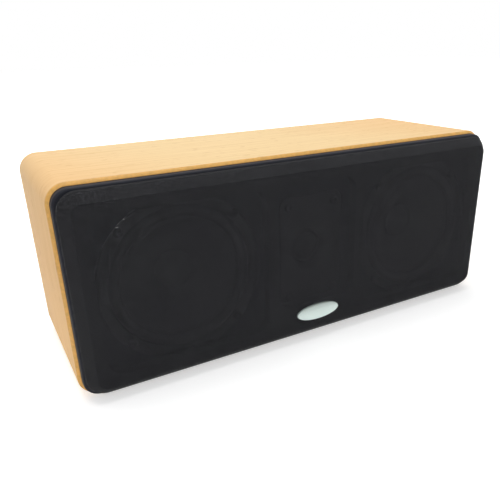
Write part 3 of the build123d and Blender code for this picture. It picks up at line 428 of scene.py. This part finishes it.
def turned(name, profile, centre, material, segments=96, first=0.0, last=360.0):
    """Closed profile of (radius, depth behind the baffle's face), in millimetres, turned about Y."""
    bm = bmesh.new()
    whole = last - first >= 360.0
    columns = []
    for i in range(segments if whole else segments + 1):
        a = math.radians(first + (last - first) * i / segments)
        columns.append([bm.verts.new((centre.x + r * MM * math.cos(a), BAFFLE_LOW.y + depth * MM,
                                      centre.z + r * MM * math.sin(a))) for r, depth in profile])
    for a, b in list(zip(columns, columns[1:])) + ([(columns[-1], columns[0])] if whole else []):
        for i in range(len(profile)):
            j = (i + 1) % len(profile)
            bm.faces.new((a[i], b[i], b[j], a[j]))
    if not whole:
        bm.faces.new(columns[0])
        bm.faces.new(columns[-1])
    bmesh.ops.remove_doubles(bm, verts=bm.verts, dist=1e-7)
    bmesh.ops.dissolve_degenerate(bm, edges=bm.edges, dist=1e-8)
    return object_from(name, bm, [material])


def arc(centre, radius, start, end, steps):
    """Points along a circle, angles in degrees."""
    angles = [math.radians(start + (end - start) * i / steps) for i in range(steps + 1)]
    return [(centre[0] + radius * math.cos(a), centre[1] + radius * math.sin(a)) for a in angles]


def sideways(path):
    """Unit vectors square to a path at each of its points."""
    ways = []
    for i in range(len(path)):
        x0, y0 = path[max(i - 1, 0)]
        x1, y1 = path[min(i + 1, len(path) - 1)]
        length = math.hypot(x1 - x0, y1 - y0)
        ways.append(((y0 - y1) / length, (x1 - x0) / length))
    return ways


def moved_in(path, distance):
    """Path moved to one side, such as the inner face of a cloth behind its outer one."""
    return [(x - dx * distance, y - dy * distance) for (x, y), (dx, dy) in zip(path, sideways(path))]


def sheet_profile(path, thickness):
    """Closed profile of a sheet that follows a path."""
    return moved_in(path, -thickness / 2) + moved_in(path, thickness / 2)[::-1]


def dome_profile(radius, height, rim, thickness, steps=14):
    """Closed profile of a domed cap whose rim lies at a depth."""
    sphere = (radius ** 2 + height ** 2) / (2 * height)
    half = math.degrees(math.asin(radius / sphere))
    centre = (0.0, rim - height + sphere)
    outer = arc(centre, sphere, 270 + half, 270, steps)
    inner = arc(centre, sphere - thickness, 270, 270 + half, steps)
    return [(max(r, 0.0), depth) for r, depth in outer + inner]


def bend(a, corner, b, radius, steps=6):
    """Points that round a corner between two straight runs."""
    a, corner, b = Vector(a), Vector(corner), Vector(b)
    u, v = (a - corner).normalized(), (b - corner).normalized()
    cut = radius / math.tan(u.angle(v) / 2)
    p, q = corner + u * cut, corner + v * cut
    return [tuple(p * (1 - t) ** 2 + corner * 2 * t * (1 - t) + q * t ** 2) for t in shares(steps)]


def settle(piece, body, node):
    """Rides a piece on a body in place of a CAD node."""
    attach(piece, body)
    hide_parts(node)


def paint(material, *nodes):
    """Gives CAD nodes that stay a finished material."""
    for node in nodes:
        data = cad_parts[node].data
        data.materials.clear()
        data.materials.append(material)


class SPEAKER_OT_cabinet(bpy.types.Operator):
    """Veneered wrap with its lacquered edges, the baffle and the rear panel"""

    bl_idname = "speaker.cabinet"
    bl_label = "Cabinet"

    def execute(self, context):
        sizes, colours = context.scene.speaker_sizes, context.scene.speaker_colours
        front, back = WRAP_LOW.y, WRAP_HIGH.y
        slope, behind = sizes.front_slope, sizes.back_round
        veneer, edge, board = 0, 1, 2
        # The wall's section as (inset, depth), and the material of the face after each point: a soft-edged
        # slope in front, the rebates for baffle and rear panel inside, a rounded edge at the back
        section = [((0.0, front + 1.2 * slope), veneer), ((0.03 * slope, front + slope), veneer),
                   ((0.1 * slope, front + 0.88 * slope), edge), ((0.88 * slope, front + 0.1 * slope), edge),
                   ((slope, front + 0.03 * slope), edge)]
        section += [((sizes.front_lip, front), board), ((sizes.front_lip, BAFFLE_HIGH.y), board),
                    ((WALL, BAFFLE_HIGH.y), board), ((WALL, REAR_LOW.y), board),
                    ((REAR_LIP, REAR_LOW.y), board), ((REAR_LIP, back), edge)]
        section += [((behind - behind * math.sin(a), back - behind + behind * math.cos(a)), edge)
                    for a in (math.radians(15 * i) for i in range(6))]
        section.append(((0.0, back - behind), veneer))
        bm = bmesh.new()
        rings = [[bm.verts.new((x, y, z)) for x, z in cabinet_outline(inset, sizes.corner_radius)]
                 for (inset, y), _ in section]
        skin(bm, rings, closed=True, materials=[material for _, material in section])
        self.lay_veneer(bm, sizes.corner_radius)
        # Raw board: brown, dull and fibrous
        raw = finish("raw_fibreboard", colours.fibreboard, 0.8, 0.6, 0.2)
        wrap = object_from("veneered_wrap", bm, [maple_veneer(colours), maple_edge(colours), raw], 50)
        settle(wrap, "cabinet", "cabinet_wrap")
        # Sprayed satin paint: a low sheen with a trace of orange peel
        paint(finish("satin_black_paint", colours.baffle, 0.55, 1.6, 0.05, 0.05,
                     **{"Specular IOR Level": 0.15}), "front_baffle")
        # Textured vinyl over board: pebbled, dull
        paint(finish("black_vinyl", colours.vinyl, 0.55, 1.4, 0.6, 0.2, 0.12,
                     **{"Specular IOR Level": 0.2}), "rear_panel")
        return {"FINISHED"}

    def lay_veneer(self, bm, radius):
        """UV map in metres: along the wrap, and back over its depth."""
        layer = bm.loops.layers.uv.new("wrap")
        outline = cabinet_outline(0, radius)
        along = run_along(outline + outline[:1])
        count = len(outline)
        bm.verts.index_update()
        for face in bm.faces:
            spots = [loop.vert.index % count for loop in face.loops]
            seam = 0 in spots and count - 1 in spots
            for loop, spot in zip(face.loops, spots):
                loop[layer].uv = (along[count if seam and spot == 0 else spot], loop.vert.co.y)


class SPEAKER_OT_grille(bpy.types.Operator):
    """Knit stretched over the chamfered frame and turned in behind it"""

    bl_idname = "speaker.grille"
    bl_label = "Grille"

    def execute(self, context):
        sizes, colours = context.scene.speaker_sizes, context.scene.speaker_colours
        front, back, side = CLOTH_LOW.y, CLOTH_HIGH.y, CLOTH_LOW.x - WRAP_LOW.x
        slope = sizes.grille_chamfer
        middle, brow = (side + slope + CLOTH_FLAT, front), (side + slope, front)
        cheek, heel, hem = (side, front + slope), (side, back), (side + TURN_IN, back)
        outer = [middle, *bend(middle, brow, cheek, sizes.cloth_bend),
                 *bend(brow, cheek, heel, sizes.cloth_bend), *bend(cheek, heel, hem, HEM_BEND), hem]
        inner = moved_in(outer, sizes.cloth_thickness)
        reach = run_along(outer)
        corner = sizes.grille_corner + side
        bm = bmesh.new()
        layer = bm.loops.layers.uv.new("cut")
        rings, flat = [], {}
        for (inset, y), run in [*zip(outer, reach), *zip(inner[::-1], reach[::-1])]:
            laid = cabinet_outline(middle[0] - run, corner)
            ring = [bm.verts.new((x, y, z)) for x, z in cabinet_outline(inset, corner)]
            flat.update(zip(ring, laid))
            rings.append(ring)
        skin(bm, rings, capped=True)
        for face in bm.faces:
            for loop in face.loops:
                loop[layer].uv = flat[loop.vert]
        cloth = object_from("grille_knit", bm, [acoustic_knit(colours, sizes)], 60)
        settle(cloth, "grille", "grille_cloth")
        # Routed board brushed black: dull, with a fibrous tooth
        paint(finish("painted_fibreboard", colours.plastic, 0.7, 0.5, 0.3), "grille_frame")
        # Turned nylon: black, smooth, a soft shine
        paint(finish("nylon", colours.plastic, 0.4, 0.4), "grille_pegs")
        # Soft rubber: black and dull
        paint(finish("socket_rubber", colours.rubber, 0.6, 0.4), "grille_sockets")
        return {"FINISHED"}


class SPEAKER_OT_badge(bpy.types.Operator):
    """Bare oval plate with a raised rim and a slightly dished field"""

    bl_idname = "speaker.badge"
    bl_label = "Badge"

    def execute(self, context):
        sizes, colours = context.scene.speaker_sizes, context.scene.speaker_colours
        half_x, half_z = (BADGE_HIGH.x - BADGE_LOW.x) / 2, (BADGE_HIGH.z - BADGE_LOW.z) / 2
        middle_z = (BADGE_HIGH.z + BADGE_LOW.z) / 2
        front, rim = BADGE_LOW.y, sizes.badge_rim
        field = front + BADGE_FIELD
        # A rounded rim, a step down from it, and a field that dishes towards its middle
        section = [(0.0, CLOTH_LOW.y), (0.0, front + 0.6 * MM), (0.12 * rim, front + 0.2 * MM),
                   (0.4 * rim, front), (0.75 * rim, front + 0.02 * MM), (rim, front + 0.3 * MM),
                   (1.2 * rim, field)]
        start, end = 1.2 * rim, half_z - BADGE_HEART
        for share in shares(6)[1:]:
            section.append((start + (end - start) * share,
                            field + BADGE_DISH * math.sin(share * math.pi / 2)))
        bm = bmesh.new()
        rings = [[bm.verts.new(((half_x - inset) * math.cos(a), y, middle_z + (half_z - inset) * math.sin(a)))
                  for a in around(128)] for inset, y in section]
        skin(bm, rings, capped=True)
        plate = object_from("badge_plate", bm, [badge_metal_painted_shade(colours)])
        settle(plate, "grille", "badge")
        return {"FINISHED"}


class SPEAKER_OT_drive_units(bpy.types.Operator):
    """Trim rings, rolls, cones, caps, spiders and dome, and the finishes of the motors"""

    bl_idname = "speaker.drive_units"
    bl_label = "Drive Units"

    def execute(self, context):
        colours = context.scene.speaker_colours
        # Butyl rubber: dark, with a soft wide sheen
        rubber = finish("butyl_rubber", colours.rubber, 0.36, 0.5, 0.08)
        # Pressed pulp, coated: fibrous and a little shiny
        pulp = finish("coated_pulp", colours.cone, 0.48, 1.4, 0.35, 0.12)
        # Glossy moulded plastic: sharp glints along the edges
        gloss = finish("trim_ring_abs", colours.plastic, 0.08, 0.5, 0.01, 0.02, spread=0.02)
        # Cotton stiffened with resin: honey brown, coarse
        cotton = finish("resin_cotton", "#B98B3C", 0.85, 0.7, 0.4)
        # Doped silk: fine weave under a satin coat
        silk = finish("coated_silk", colours.silk, 0.35, 0.6, 0.2)
        for side in SIDES:
            self.woofer(side, centre_of(f"{side}_woofer_magnet"), rubber, pulp, gloss, cotton)
        self.tweeter(centre_of("tweeter_magnet"), silk)
        # Satin moulded plastic: no sharp glint in the flare
        paint(finish("face_plate_abs", colours.plastic, 0.42, 0.6, 0.08), "tweeter_faceplate")
        self.motors(colours)
        return {"FINISHED"}

    def woofer(self, side, at, rubber, pulp, gloss, cotton):
        """One woofer's front and suspension."""
        body = f"{side}_cone"
        ring = turned(f"{side}_ring", RING, at, gloss)
        settle(ring, "cabinet", f"{side}_woofer_trim_ring")
        roll = [(CONE_LIP + 0.4, ROLL_DEPTH), (CONE_EDGE - 0.6, ROLL_DEPTH),
                *arc((ROLL_CENTRE, ROLL_DEPTH), ROLL_RADIUS, 180, 360, 16), (ROLL_END, ROLL_DEPTH)]
        self.flexible(f"{side}_roll", sheet_profile(roll, ROLL_SHEET), at, rubber, body,
                      (ROLL_CENTRE + ROLL_RADIUS, CONE_EDGE), f"{side}_woofer_surround", "rubber")
        web = []
        for share in shares(58):
            r = SPIDER_EDGE + (SPIDER_LAST - SPIDER_EDGE) * share
            swell = min(1.0, max(0.0, (SPIDER_FIRST - r) / 2), max(0.0, (r - SPIDER_LAST) / 2))
            wave = SPIDER_WAVE * math.cos(2 * math.pi * (SPIDER_FIRST - r) / SPIDER_PITCH)
            web.append((r, SPIDER_DEPTH + wave * swell))
        self.flexible(f"{side}_web", sheet_profile(web, SPIDER_SHEET), at, cotton, body,
                      (SPIDER_FIRST, SPIDER_LAST + 2), f"{side}_woofer_spider", "spider")
        paper = [(CONE_EDGE, CONE_START), (CONE_LIP + 0.3, CONE_START)]
        for share in shares(12):
            paper.append((CONE_LIP + (CONE_NECK - CONE_LIP) * share,
                          CONE_START + CONE_DEPTH * share ** CONE_FLARE))
        cone = turned(f"{side}_paper", sheet_profile(paper, CONE_SHEET), at, pulp)
        settle(cone, body, f"{side}_woofer_cone")
        cap = turned(f"{side}_cap", dome_profile(CAP_RADIUS, CAP_HEIGHT, CAP_RIM, CAP_SHEET), at, pulp)
        settle(cap, body, f"{side}_woofer_dust_cap")

    def flexible(self, name, profile, at, material, body, span, node, slot, sectors=12):
        """Ring in sectors, each turned on its own, in place of a CAD node."""
        step = 360 / sectors
        for i in range(sectors):
            piece = turned(f"{name}_{i + 1:02d}", profile, at, material, segments=8,
                           first=step * i, last=step * (i + 1))
            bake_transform(piece)
            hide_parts(node)

    def tweeter(self, at, silk):
        """Dome and its narrow roll."""
        dome = turned("soft_dome", dome_profile(DOME_RADIUS, DOME_HEIGHT, DOME_RIM, DOME_SHEET), at, silk)
        settle(dome, "dome", "tweeter_dome")
        path = [*arc((DOME_ROLL_CENTRE, DOME_ROLL_DEPTH), DOME_ROLL_RADIUS, 180, 360, 10),
                (DOME_ROLL_END, DOME_ROLL_DEPTH)]
        roll = turned("dome_roll", sheet_profile(path, DOME_SHEET), at, silk)
        settle(roll, "cabinet", "tweeter_surround")

    def motors(self, colours):
        """Finishes of baskets, magnets, plates and coils."""
        # Zinc-plated steel: grey, softly mirror-like
        steel = finish("zinc_plated_steel", "#B9BBBB", 0.34, 0.4, 0.05, 0.02, 0.1, Metallic=1.0)
        # Sintered ferrite: charcoal, matt, finely pitted
        ferrite = finish("ferrite", "#4A4A4C", 0.62, 0.5, 0.25)
        # Baked enamel on pressed steel: black, with an even half gloss
        enamel = finish("black_enamel", "#1A1A1B", 0.4, 0.7, 0.12)
        # Lacquered copper wire: orange brown, with a fine metal glint
        copper = finish("enamelled_copper", "#B4632B", 0.32, 0.4, 0.3, 0.08, 0.2, Metallic=0.9)
        # Tinned brass: a pale warm grey, bright along its edges
        brass = finish("tinned_brass", "#C8C0A4", 0.3, 0.4, 0.05, 0.02, 0.1, Metallic=1.0)
        for side in SIDES:
            paint(steel, f"{side}_woofer_top_plate", f"{side}_woofer_yoke")
            paint(ferrite, f"{side}_woofer_magnet")
            paint(enamel, f"{side}_woofer_basket")
            paint(copper, f"{side}_woofer_voice_coil")
        paint(steel, "tweeter_top_plate", "tweeter_yoke", "crossover_screws")
        paint(ferrite, "tweeter_magnet")
        paint(copper, "tweeter_voice_coil", "woofer_inductor", "tweeter_inductor")
        paint(brass, "woofer_terminals", "tweeter_terminals")


class SPEAKER_OT_screws(bpy.types.Operator):
    """Cross-head screws of the drive units and of the terminal cup"""

    bl_idname = "speaker.screws"
    bl_label = "Screws"

    def execute(self, context):
        sizes = context.scene.speaker_sizes
        # Black oxide on steel: near black with a grey metal sheen
        oxide = finish("black_oxide_steel", "#2B2B2D", 0.36, 0.4, 0.1, 0.03, 0.2, Metallic=0.7)
        screw, tree = self.unit_screw(), self.pattern_tree()
        wood, cup = sizes.wood_screw_head, sizes.cup_screw_head
        for node, spots, head, turn in (
                ("woofer_screws", self.woofer_spots(wood), wood, -90),
                ("tweeter_screws", self.corner_spots("tweeter_screws", wood), wood, -90),
                ("terminal_cup_screws", self.corner_spots("terminal_cup_screws", cup), cup, 90)):
            drawn = self.pattern(f"{node}_drawn", tree, screw, spots, head, turn, oxide)
            settle(drawn, "cabinet", node)
        bpy.data.objects.remove(screw)
        return {"FINISHED"}

    def corner_spots(self, node, head):
        """Seats at the four corners of a node's box."""
        low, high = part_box(node)
        seat = BAFFLE_LOW.y if low.y < 0 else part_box("terminal_cup")[1].y
        return [(x, seat, z) for x in (low.x + head, high.x - head) for z in (low.z + head, high.z - head)]

    def woofer_spots(self, head):
        """Seats of both woofers' screws."""
        low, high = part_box("woofer_screws")
        rise = (high.z - low.z) / 2 - head
        return [(centre_of(f"{side}_woofer_magnet").x + dx, BAFFLE_LOW.y, MIDDLE_Z + dz)
                for side in SIDES for dx in (-rise, rise) for dz in (-rise, rise)]

    def unit_screw(self):
        """Pan-head screw with a cross recess and a head of radius one, along Z from its seat."""
        bm = bmesh.new()
        top, recess, narrowing = -0.60, -0.22, 0.8
        profile = [(0.60, top), (0.78, -0.56), (0.92, -0.42), (0.99, -0.22), (1.0, 0.0), (0.47, 0.0),
                   (0.47, 3.6), (0.02, 4.1)]
        rings = [[bm.verts.new((r * math.cos(a), r * math.sin(a), z)) for a in around(32)]
                 for r, z in profile]
        skin(bm, rings)
        bm.faces.new(rings[-1])
        arm, half = 0.46, 0.12
        cross = [(arm, half), (half, half), (half, arm), (-half, arm), (-half, half), (-arm, half),
                 (-arm, -half), (-half, -half), (-half, -arm), (half, -arm), (half, -half), (arm, -half)]
        mouth = [bm.verts.new((x, y, top)) for x, y in cross]
        floor = [bm.verts.new((x * narrowing, y * narrowing, recess)) for x, y in cross]
        skin(bm, [mouth, floor])
        bm.faces.new(floor)
        loops = [zip(ring, ring[1:] + ring[:1]) for ring in (rings[0], mouth)]
        edges = [bm.edges.get(pair) for loop in loops for pair in loop]
        bmesh.ops.triangle_fill(bm, edges=edges, use_beauty=True)
        return object_from("unit_screw", bm, [], 40)

    def pattern_tree(self):
        """Geometry nodes that set a screw on each point."""
        tree = bpy.data.node_groups.new("screw_pattern", "GeometryNodeTree")
        for name, kind in (("Seats", "Geometry"), ("Screw", "Object"), ("Head Radius", "Float"),
                           ("Turn", "Float"), ("Finish", "Material")):
            tree.interface.new_socket(name, in_out="INPUT", socket_type=f"NodeSocket{kind}")
        tree.interface.new_socket("Screws", in_out="OUTPUT", socket_type="NodeSocketGeometry")
        given = add(tree, "NodeGroupInput", out=None)
        shape = add(tree, "GeometryNodeObjectInfo", {"Object": given["Screw"]}, out="Geometry")
        turn = add(tree, "ShaderNodeCombineXYZ", {"X": given["Turn"]})
        rotation = add(tree, "FunctionNodeEulerToRotation", {0: turn})
        placed = add(tree, "GeometryNodeInstanceOnPoints", {
            "Points": given["Seats"], "Instance": shape, "Rotation": rotation,
            "Scale": given["Head Radius"]})
        real = add(tree, "GeometryNodeRealizeInstances", {0: placed})
        dressed = add(tree, "GeometryNodeSetMaterial", {0: real, "Material": given["Finish"]})
        add(tree, "NodeGroupOutput", {0: dressed})
        return tree

    def pattern(self, name, tree, screw, spots, head, turn, material):
        """Plain mesh of the screws on their seats."""
        seats = bpy.data.meshes.new(f"{name}_seats")
        seats.from_pydata(spots, [], [])
        holder = link(f"{name}_seats", seats)
        modifier = holder.modifiers.new("screws", "NODES")
        modifier.node_group = tree
        values = {"Screw": screw, "Head Radius": head, "Turn": math.radians(turn), "Finish": material}
        for item in tree.interface.items_tree:
            if item.name in values:
                modifier[item.identifier] = values[item.name]
        graph = bpy.context.evaluated_depsgraph_get()
        mesh = bpy.data.meshes.new_from_object(holder.evaluated_get(graph), depsgraph=graph)
        mesh.name = name
        bpy.data.objects.remove(holder)
        return link(name, mesh)


class SPEAKER_OT_terminals(bpy.types.Operator):
    """Terminal cup, binding posts and their fluted knobs"""

    bl_idname = "speaker.terminals"
    bl_label = "Terminals"

    def execute(self, context):
        sizes, colours = context.scene.speaker_sizes, context.scene.speaker_colours
        # Spark-eroded mould: an even fine stipple that kills the gloss
        paint(finish("stippled_abs", colours.plastic, 0.5, 0.8, 0.4, 0.1), "terminal_cup")
        # Smooth moulded plastic: black, half glossy
        paint(finish("collar_abs", colours.plastic, 0.35, 0.5, 0.08), "post_collars")
        # Foam: charcoal, wholly matt, finely pored
        paint(finish("closed_cell_foam", "#2A2A2B", 0.9, 0.8, 0.4), "terminal_cup_gasket")
        # Flash gold over nickel: warm and bright
        gold = finish("gold_plating", colours.plating, 0.22, 0.4, 0.04, 0.02, 0.08, Metallic=1.0)
        paint(gold, "post_studs", "post_nuts", "red_post_washer", "black_post_washer")
        for name, colour in (("red", colours.red), ("black", colours.plastic)):
            # Tinted plastic: glossy, slightly deep
            material = finish(f"{name}_knob_abs", colour, 0.26, 0.6, 0.06, 0.03)
            knob = self.knob(name, sizes.knob_flutes, material)
            settle(knob, f"{name}_knob", f"{name}_post_knob")
        return {"FINISHED"}

    def knob(self, name, flutes, material):
        """Grooved knob with a plain skirt, rounded at its end and bored for the post."""
        low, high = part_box(f"{name}_post_knob")
        middle = (low + high) / 2
        radius, length = (high.x - low.x) / 2, high.y - low.y
        # Share of the radius, place along the knob, and share of the groove's depth
        section = [(0.94, 0.0, 0), (1.0, 0.4 * MM, 0), (1.0, 1.6 * MM, 0), (0.985, 2.0 * MM, 0),
                   (0.985, 2.4 * MM, 1), (0.985, length - 1.4 * MM, 1), (0.96, length - 0.6 * MM, 1),
                   (0.90, length - 0.15 * MM, 0.7), (0.82, length, 0.3)]
        angles = around(12 * flutes)
        bm = bmesh.new()
        rings = []
        for scale, along, cut in section:
            ring = []
            for a in angles:
                groove = max(0.0, math.cos(a * flutes)) ** 1.5
                r = radius * scale - cut * KNOB_GROOVE * groove
                ring.append(bm.verts.new((
                    middle.x + r * math.cos(a), low.y + along, middle.z + r * math.sin(a))))
            rings.append(ring)
        for along in (length, 0.0):
            rings.append([bm.verts.new((middle.x + POST_BORE * math.cos(a), low.y + along,
                                        middle.z + POST_BORE * math.sin(a))) for a in angles])
        skin(bm, rings, closed=True)
        return object_from(f"{name}_fluted_knob", bm, [material], 40)


class SPEAKER_OT_inside(bpy.types.Operator):
    """Crossover and wiring finishes, and the damping pads"""

    bl_idname = "speaker.inside"
    bl_label = "Inside"

    def execute(self, context):
        colours = context.scene.speaker_colours
        # Solder mask: green glass over copper
        paint(finish("solder_mask", "#2B6B3A", 0.35, 1.2, 0.1), "crossover_board")
        # Moulded nylon: milky white, a soft shine
        paint(finish("white_nylon", "#E4E2DA", 0.5, 0.5, 0.1), "crossover_spacers")
        # Cast cement: chalky, off-white and rough
        paint(finish("cement", "#DAD7CB", 0.85, 0.8, 0.3), "crossover_resistor")
        # Wound film: yellow, with a smooth gloss
        paint(finish("polyester_film", "#D9B23E", 0.3, 1.2, 0.1), "crossover_capacitors")
        paint(lead_insulation(colours), "internal_wiring")
        # Bonded polyester fibre: white, dull, uneven like felted wool
        self.pads(finish("polyester_wadding", colours.wadding, 0.95, 3.0, 0.9, 1.5, 0.12))
        return {"FINISHED"}

    def pads(self, fibre):
        """Crowned slabs inside the CAD pads' boxes."""
        boxes = self.islands(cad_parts["damping_pads"].data)
        for number, (low, high) in enumerate(boxes, 1):
            pad = self.slab(f"wadding_{number}", low, high, fibre)
            settle(pad, "cabinet", "damping_pads")

    def islands(self, data):
        """Boxes of the separate solids of a node's mesh."""
        bm = bmesh.new()
        bm.from_mesh(data)
        bmesh.ops.remove_doubles(bm, verts=bm.verts, dist=1e-6)
        left, boxes = set(bm.verts), []
        while left:
            stack, found = [left.pop()], []
            while stack:
                vert = stack.pop()
                found.append(vert.co.copy())
                for edge in vert.link_edges:
                    other = edge.other_vert(vert)
                    if other in left:
                        left.discard(other)
                        stack.append(other)
            boxes.append(tuple(Vector(pick(p[k] for p in found) for k in range(3)) for pick in (min, max)))
        bm.free()
        return sorted(boxes, key=lambda box: tuple(round(v, 4) for v in box[0]))

    def slab(self, name, low, high, material):
        """Soft slab with crowned faces and round edges."""
        bm = bmesh.new()
        bmesh.ops.create_cube(bm, size=2.0)
        bmesh.ops.subdivide_edges(bm, edges=bm.edges, cuts=11, use_grid_fill=True)
        middle, half = (low + high) / 2, (high - low) / 2
        crowding, squareness, fullness, lumps = 1.6, 6, 0.985, 0.015
        for vert in bm.verts:
            x, y, z = (math.copysign(1 - (1 - abs(v)) ** crowding, v) for v in vert.co)
            size = sum(abs(v) ** squareness for v in (x, y, z)) ** (1 / squareness)
            reach = max(abs(x), abs(y), abs(z)) / size
            lump = fullness - lumps * math.sin(9 * x + 5 * z) * math.cos(7 * z - 4 * y)
            vert.co = middle + Vector((half.x * x, half.y * y, half.z * z)) * reach * lump
        return object_from(name, bm, [material], 180)


class SPEAKER_OT_stage(bpy.types.Operator):
    """White floor, soft studio light and the camera"""

    bl_idname = "speaker.stage"
    bl_label = "Stage"

    def execute(self, context):
        scene = context.scene
        scene.view_settings.view_transform = "Standard"
        self.floor()
        self.lights(scene)
        self.camera(scene)
        return {"FINISHED"}

    def shown(self, tree):
        """One for rays from the camera, a gloss or a clear sheet, and nought for the rays that give light."""
        path = add(tree, "ShaderNodeLightPath", out=None)
        seen = add(tree, "ShaderNodeMath", {0: path["Is Camera Ray"], 1: path["Is Glossy Ray"]},
                   operation="MAXIMUM")
        return add(tree, "ShaderNodeMath", {0: seen, 1: path["Is Transmission Ray"]}, operation="MAXIMUM")

    def floor(self):
        """White floor that keeps the object's shadow and runs into the white background."""
        bm = bmesh.new()
        bmesh.ops.create_grid(bm, x_segments=1, y_segments=1, size=FLOOR_SIZE)
        bmesh.ops.translate(bm, verts=bm.verts, vec=(0, 0, -FLOOR_DROP))
        # White paper: matt, lifted by a glow that grows with the distance from the object
        material, tree = new_material("studio_floor")
        at = add(tree, "ShaderNodeTexCoord", out="Object")
        away = add(tree, "ShaderNodeVectorMath", {0: at}, operation="LENGTH", out="Value")
        level = add(tree, "ShaderNodeMapRange", {
            0: away, "From Min": GLOW_FROM, "From Max": GLOW_TO, "To Min": GLOW_NEAR,
            "To Max": GLOW_FAR})
        lift = add(tree, "ShaderNodeMath", {0: self.shown(tree), 1: level}, operation="MULTIPLY")
        matt = add(tree, "ShaderNodeBsdfDiffuse", {"Color": FLOOR_GREY})
        glow = add(tree, "ShaderNodeEmission", {"Color": WHITE, "Strength": lift})
        both = add(tree, "ShaderNodeAddShader", {0: matt, 1: glow})
        add(tree, "ShaderNodeOutputMaterial", {0: both})
        object_from("studio_floor", bm, [material])

    def lights(self, scene):
        """Sky that dims to its horizon, and the lamps.

        One is broad and soft overhead, one a strip that glints on the left trim ring, and a low one lights
        the foot of the side wall.
        """
        world = bpy.data.worlds.new("studio")
        scene.world = world
        world.use_nodes = True
        tree = world.node_tree
        tree.nodes.clear()
        way = add(tree, "ShaderNodeTexCoord", out="Generated")
        rise = add(tree, "ShaderNodeSeparateXYZ", {0: way}, out="Z")
        level = add(tree, "ShaderNodeMapRange", {0: rise, "To Min": SKY_HORIZON, "To Max": SKY_TOP})
        sky = add(tree, "ShaderNodeBackground", {"Color": WHITE, "Strength": level})
        white = add(tree, "ShaderNodeBackground", {"Color": WHITE, "Strength": 1.0})
        mixed = add(tree, "ShaderNodeMixShader", {0: self.shown(tree), 1: sky, 2: white})
        add(tree, "ShaderNodeOutputWorld", {0: mixed})
        for name, place, (width, height), tilt, power in LAMPS:
            lamp = bpy.data.lights.new(name, "AREA")
            lamp.shape = "RECTANGLE"
            lamp.size, lamp.size_y, lamp.energy = width, height, power
            holder = link(name, lamp)
            holder.location = place
            aim = (Vector((0, 0, MIDDLE_Z)) - Vector(place)).to_track_quat("-Z", "Y")
            holder.rotation_euler = (aim @ Quaternion((0, 0, 1), math.radians(tilt))).to_euler()

    def camera(self, scene):
        """Camera at the photograph's place, worked out from the cabinet's straight edges."""
        yaw, pitch, roll = (math.radians(a) for a in CAMERA_YAW_PITCH_ROLL)
        forward = Vector((math.sin(yaw) * math.cos(pitch), math.cos(yaw) * math.cos(pitch), -math.sin(pitch)))
        across = Vector((math.cos(yaw), -math.sin(yaw), 0))
        down = forward.cross(across)
        right = across * math.cos(roll) + down * math.sin(roll)
        up = across * math.sin(roll) - down * math.cos(roll)
        lens = bpy.data.cameras.new("photo_camera")
        lens.sensor_width, lens.lens = SENSOR_MM, LENS_MM
        lens.shift_x, lens.shift_y = SHIFT_X, SHIFT_Y
        lens.clip_start = NEAR_CLIP
        holder = link("photo_camera", lens)
        turn = Matrix((right, up, -forward)).transposed().to_4x4()
        holder.matrix_world = Matrix.Translation(CAMERA_PLACE) @ turn
        scene.camera = holder


OPERATORS = (SPEAKER_OT_cabinet, SPEAKER_OT_grille, SPEAKER_OT_badge, SPEAKER_OT_drive_units,
             SPEAKER_OT_screws, SPEAKER_OT_terminals, SPEAKER_OT_inside, SPEAKER_OT_stage)


class SPEAKER_PT_panel(bpy.types.Panel):
    """Sidebar panel that lists the pieces, their sizes and colours"""

    bl_idname = "SPEAKER_PT_panel"
    bl_label = "Speaker"
    bl_space_type = "VIEW_3D"
    bl_region_type = "UI"
    bl_category = "Speaker"

    def draw(self, context):
        for operator in OPERATORS:
            self.layout.operator(operator.bl_idname)
        for group in (context.scene.speaker_sizes, context.scene.speaker_colours):
            for name in group.__annotations__:
                self.layout.prop(group, name)


CLASSES = (SpeakerSizes, SpeakerColours, *OPERATORS, SPEAKER_PT_panel)


def register():
    for cls in CLASSES:
        bpy.utils.register_class(cls)
    bpy.types.Scene.speaker_sizes = PointerProperty(type=SpeakerSizes)
    bpy.types.Scene.speaker_colours = PointerProperty(type=SpeakerColours)


def unregister():
    del bpy.types.Scene.speaker_colours
    del bpy.types.Scene.speaker_sizes
    for cls in reversed(CLASSES):
        bpy.utils.unregister_class(cls)


def main():
    register()
    bpy.ops.speaker.cabinet()
    bpy.ops.speaker.grille()
    bpy.ops.speaker.badge()
    bpy.ops.speaker.drive_units()
    bpy.ops.speaker.screws()
    bpy.ops.speaker.terminals()
    bpy.ops.speaker.inside()
    bpy.ops.speaker.stage()


if __name__ == "__main__":
    main()
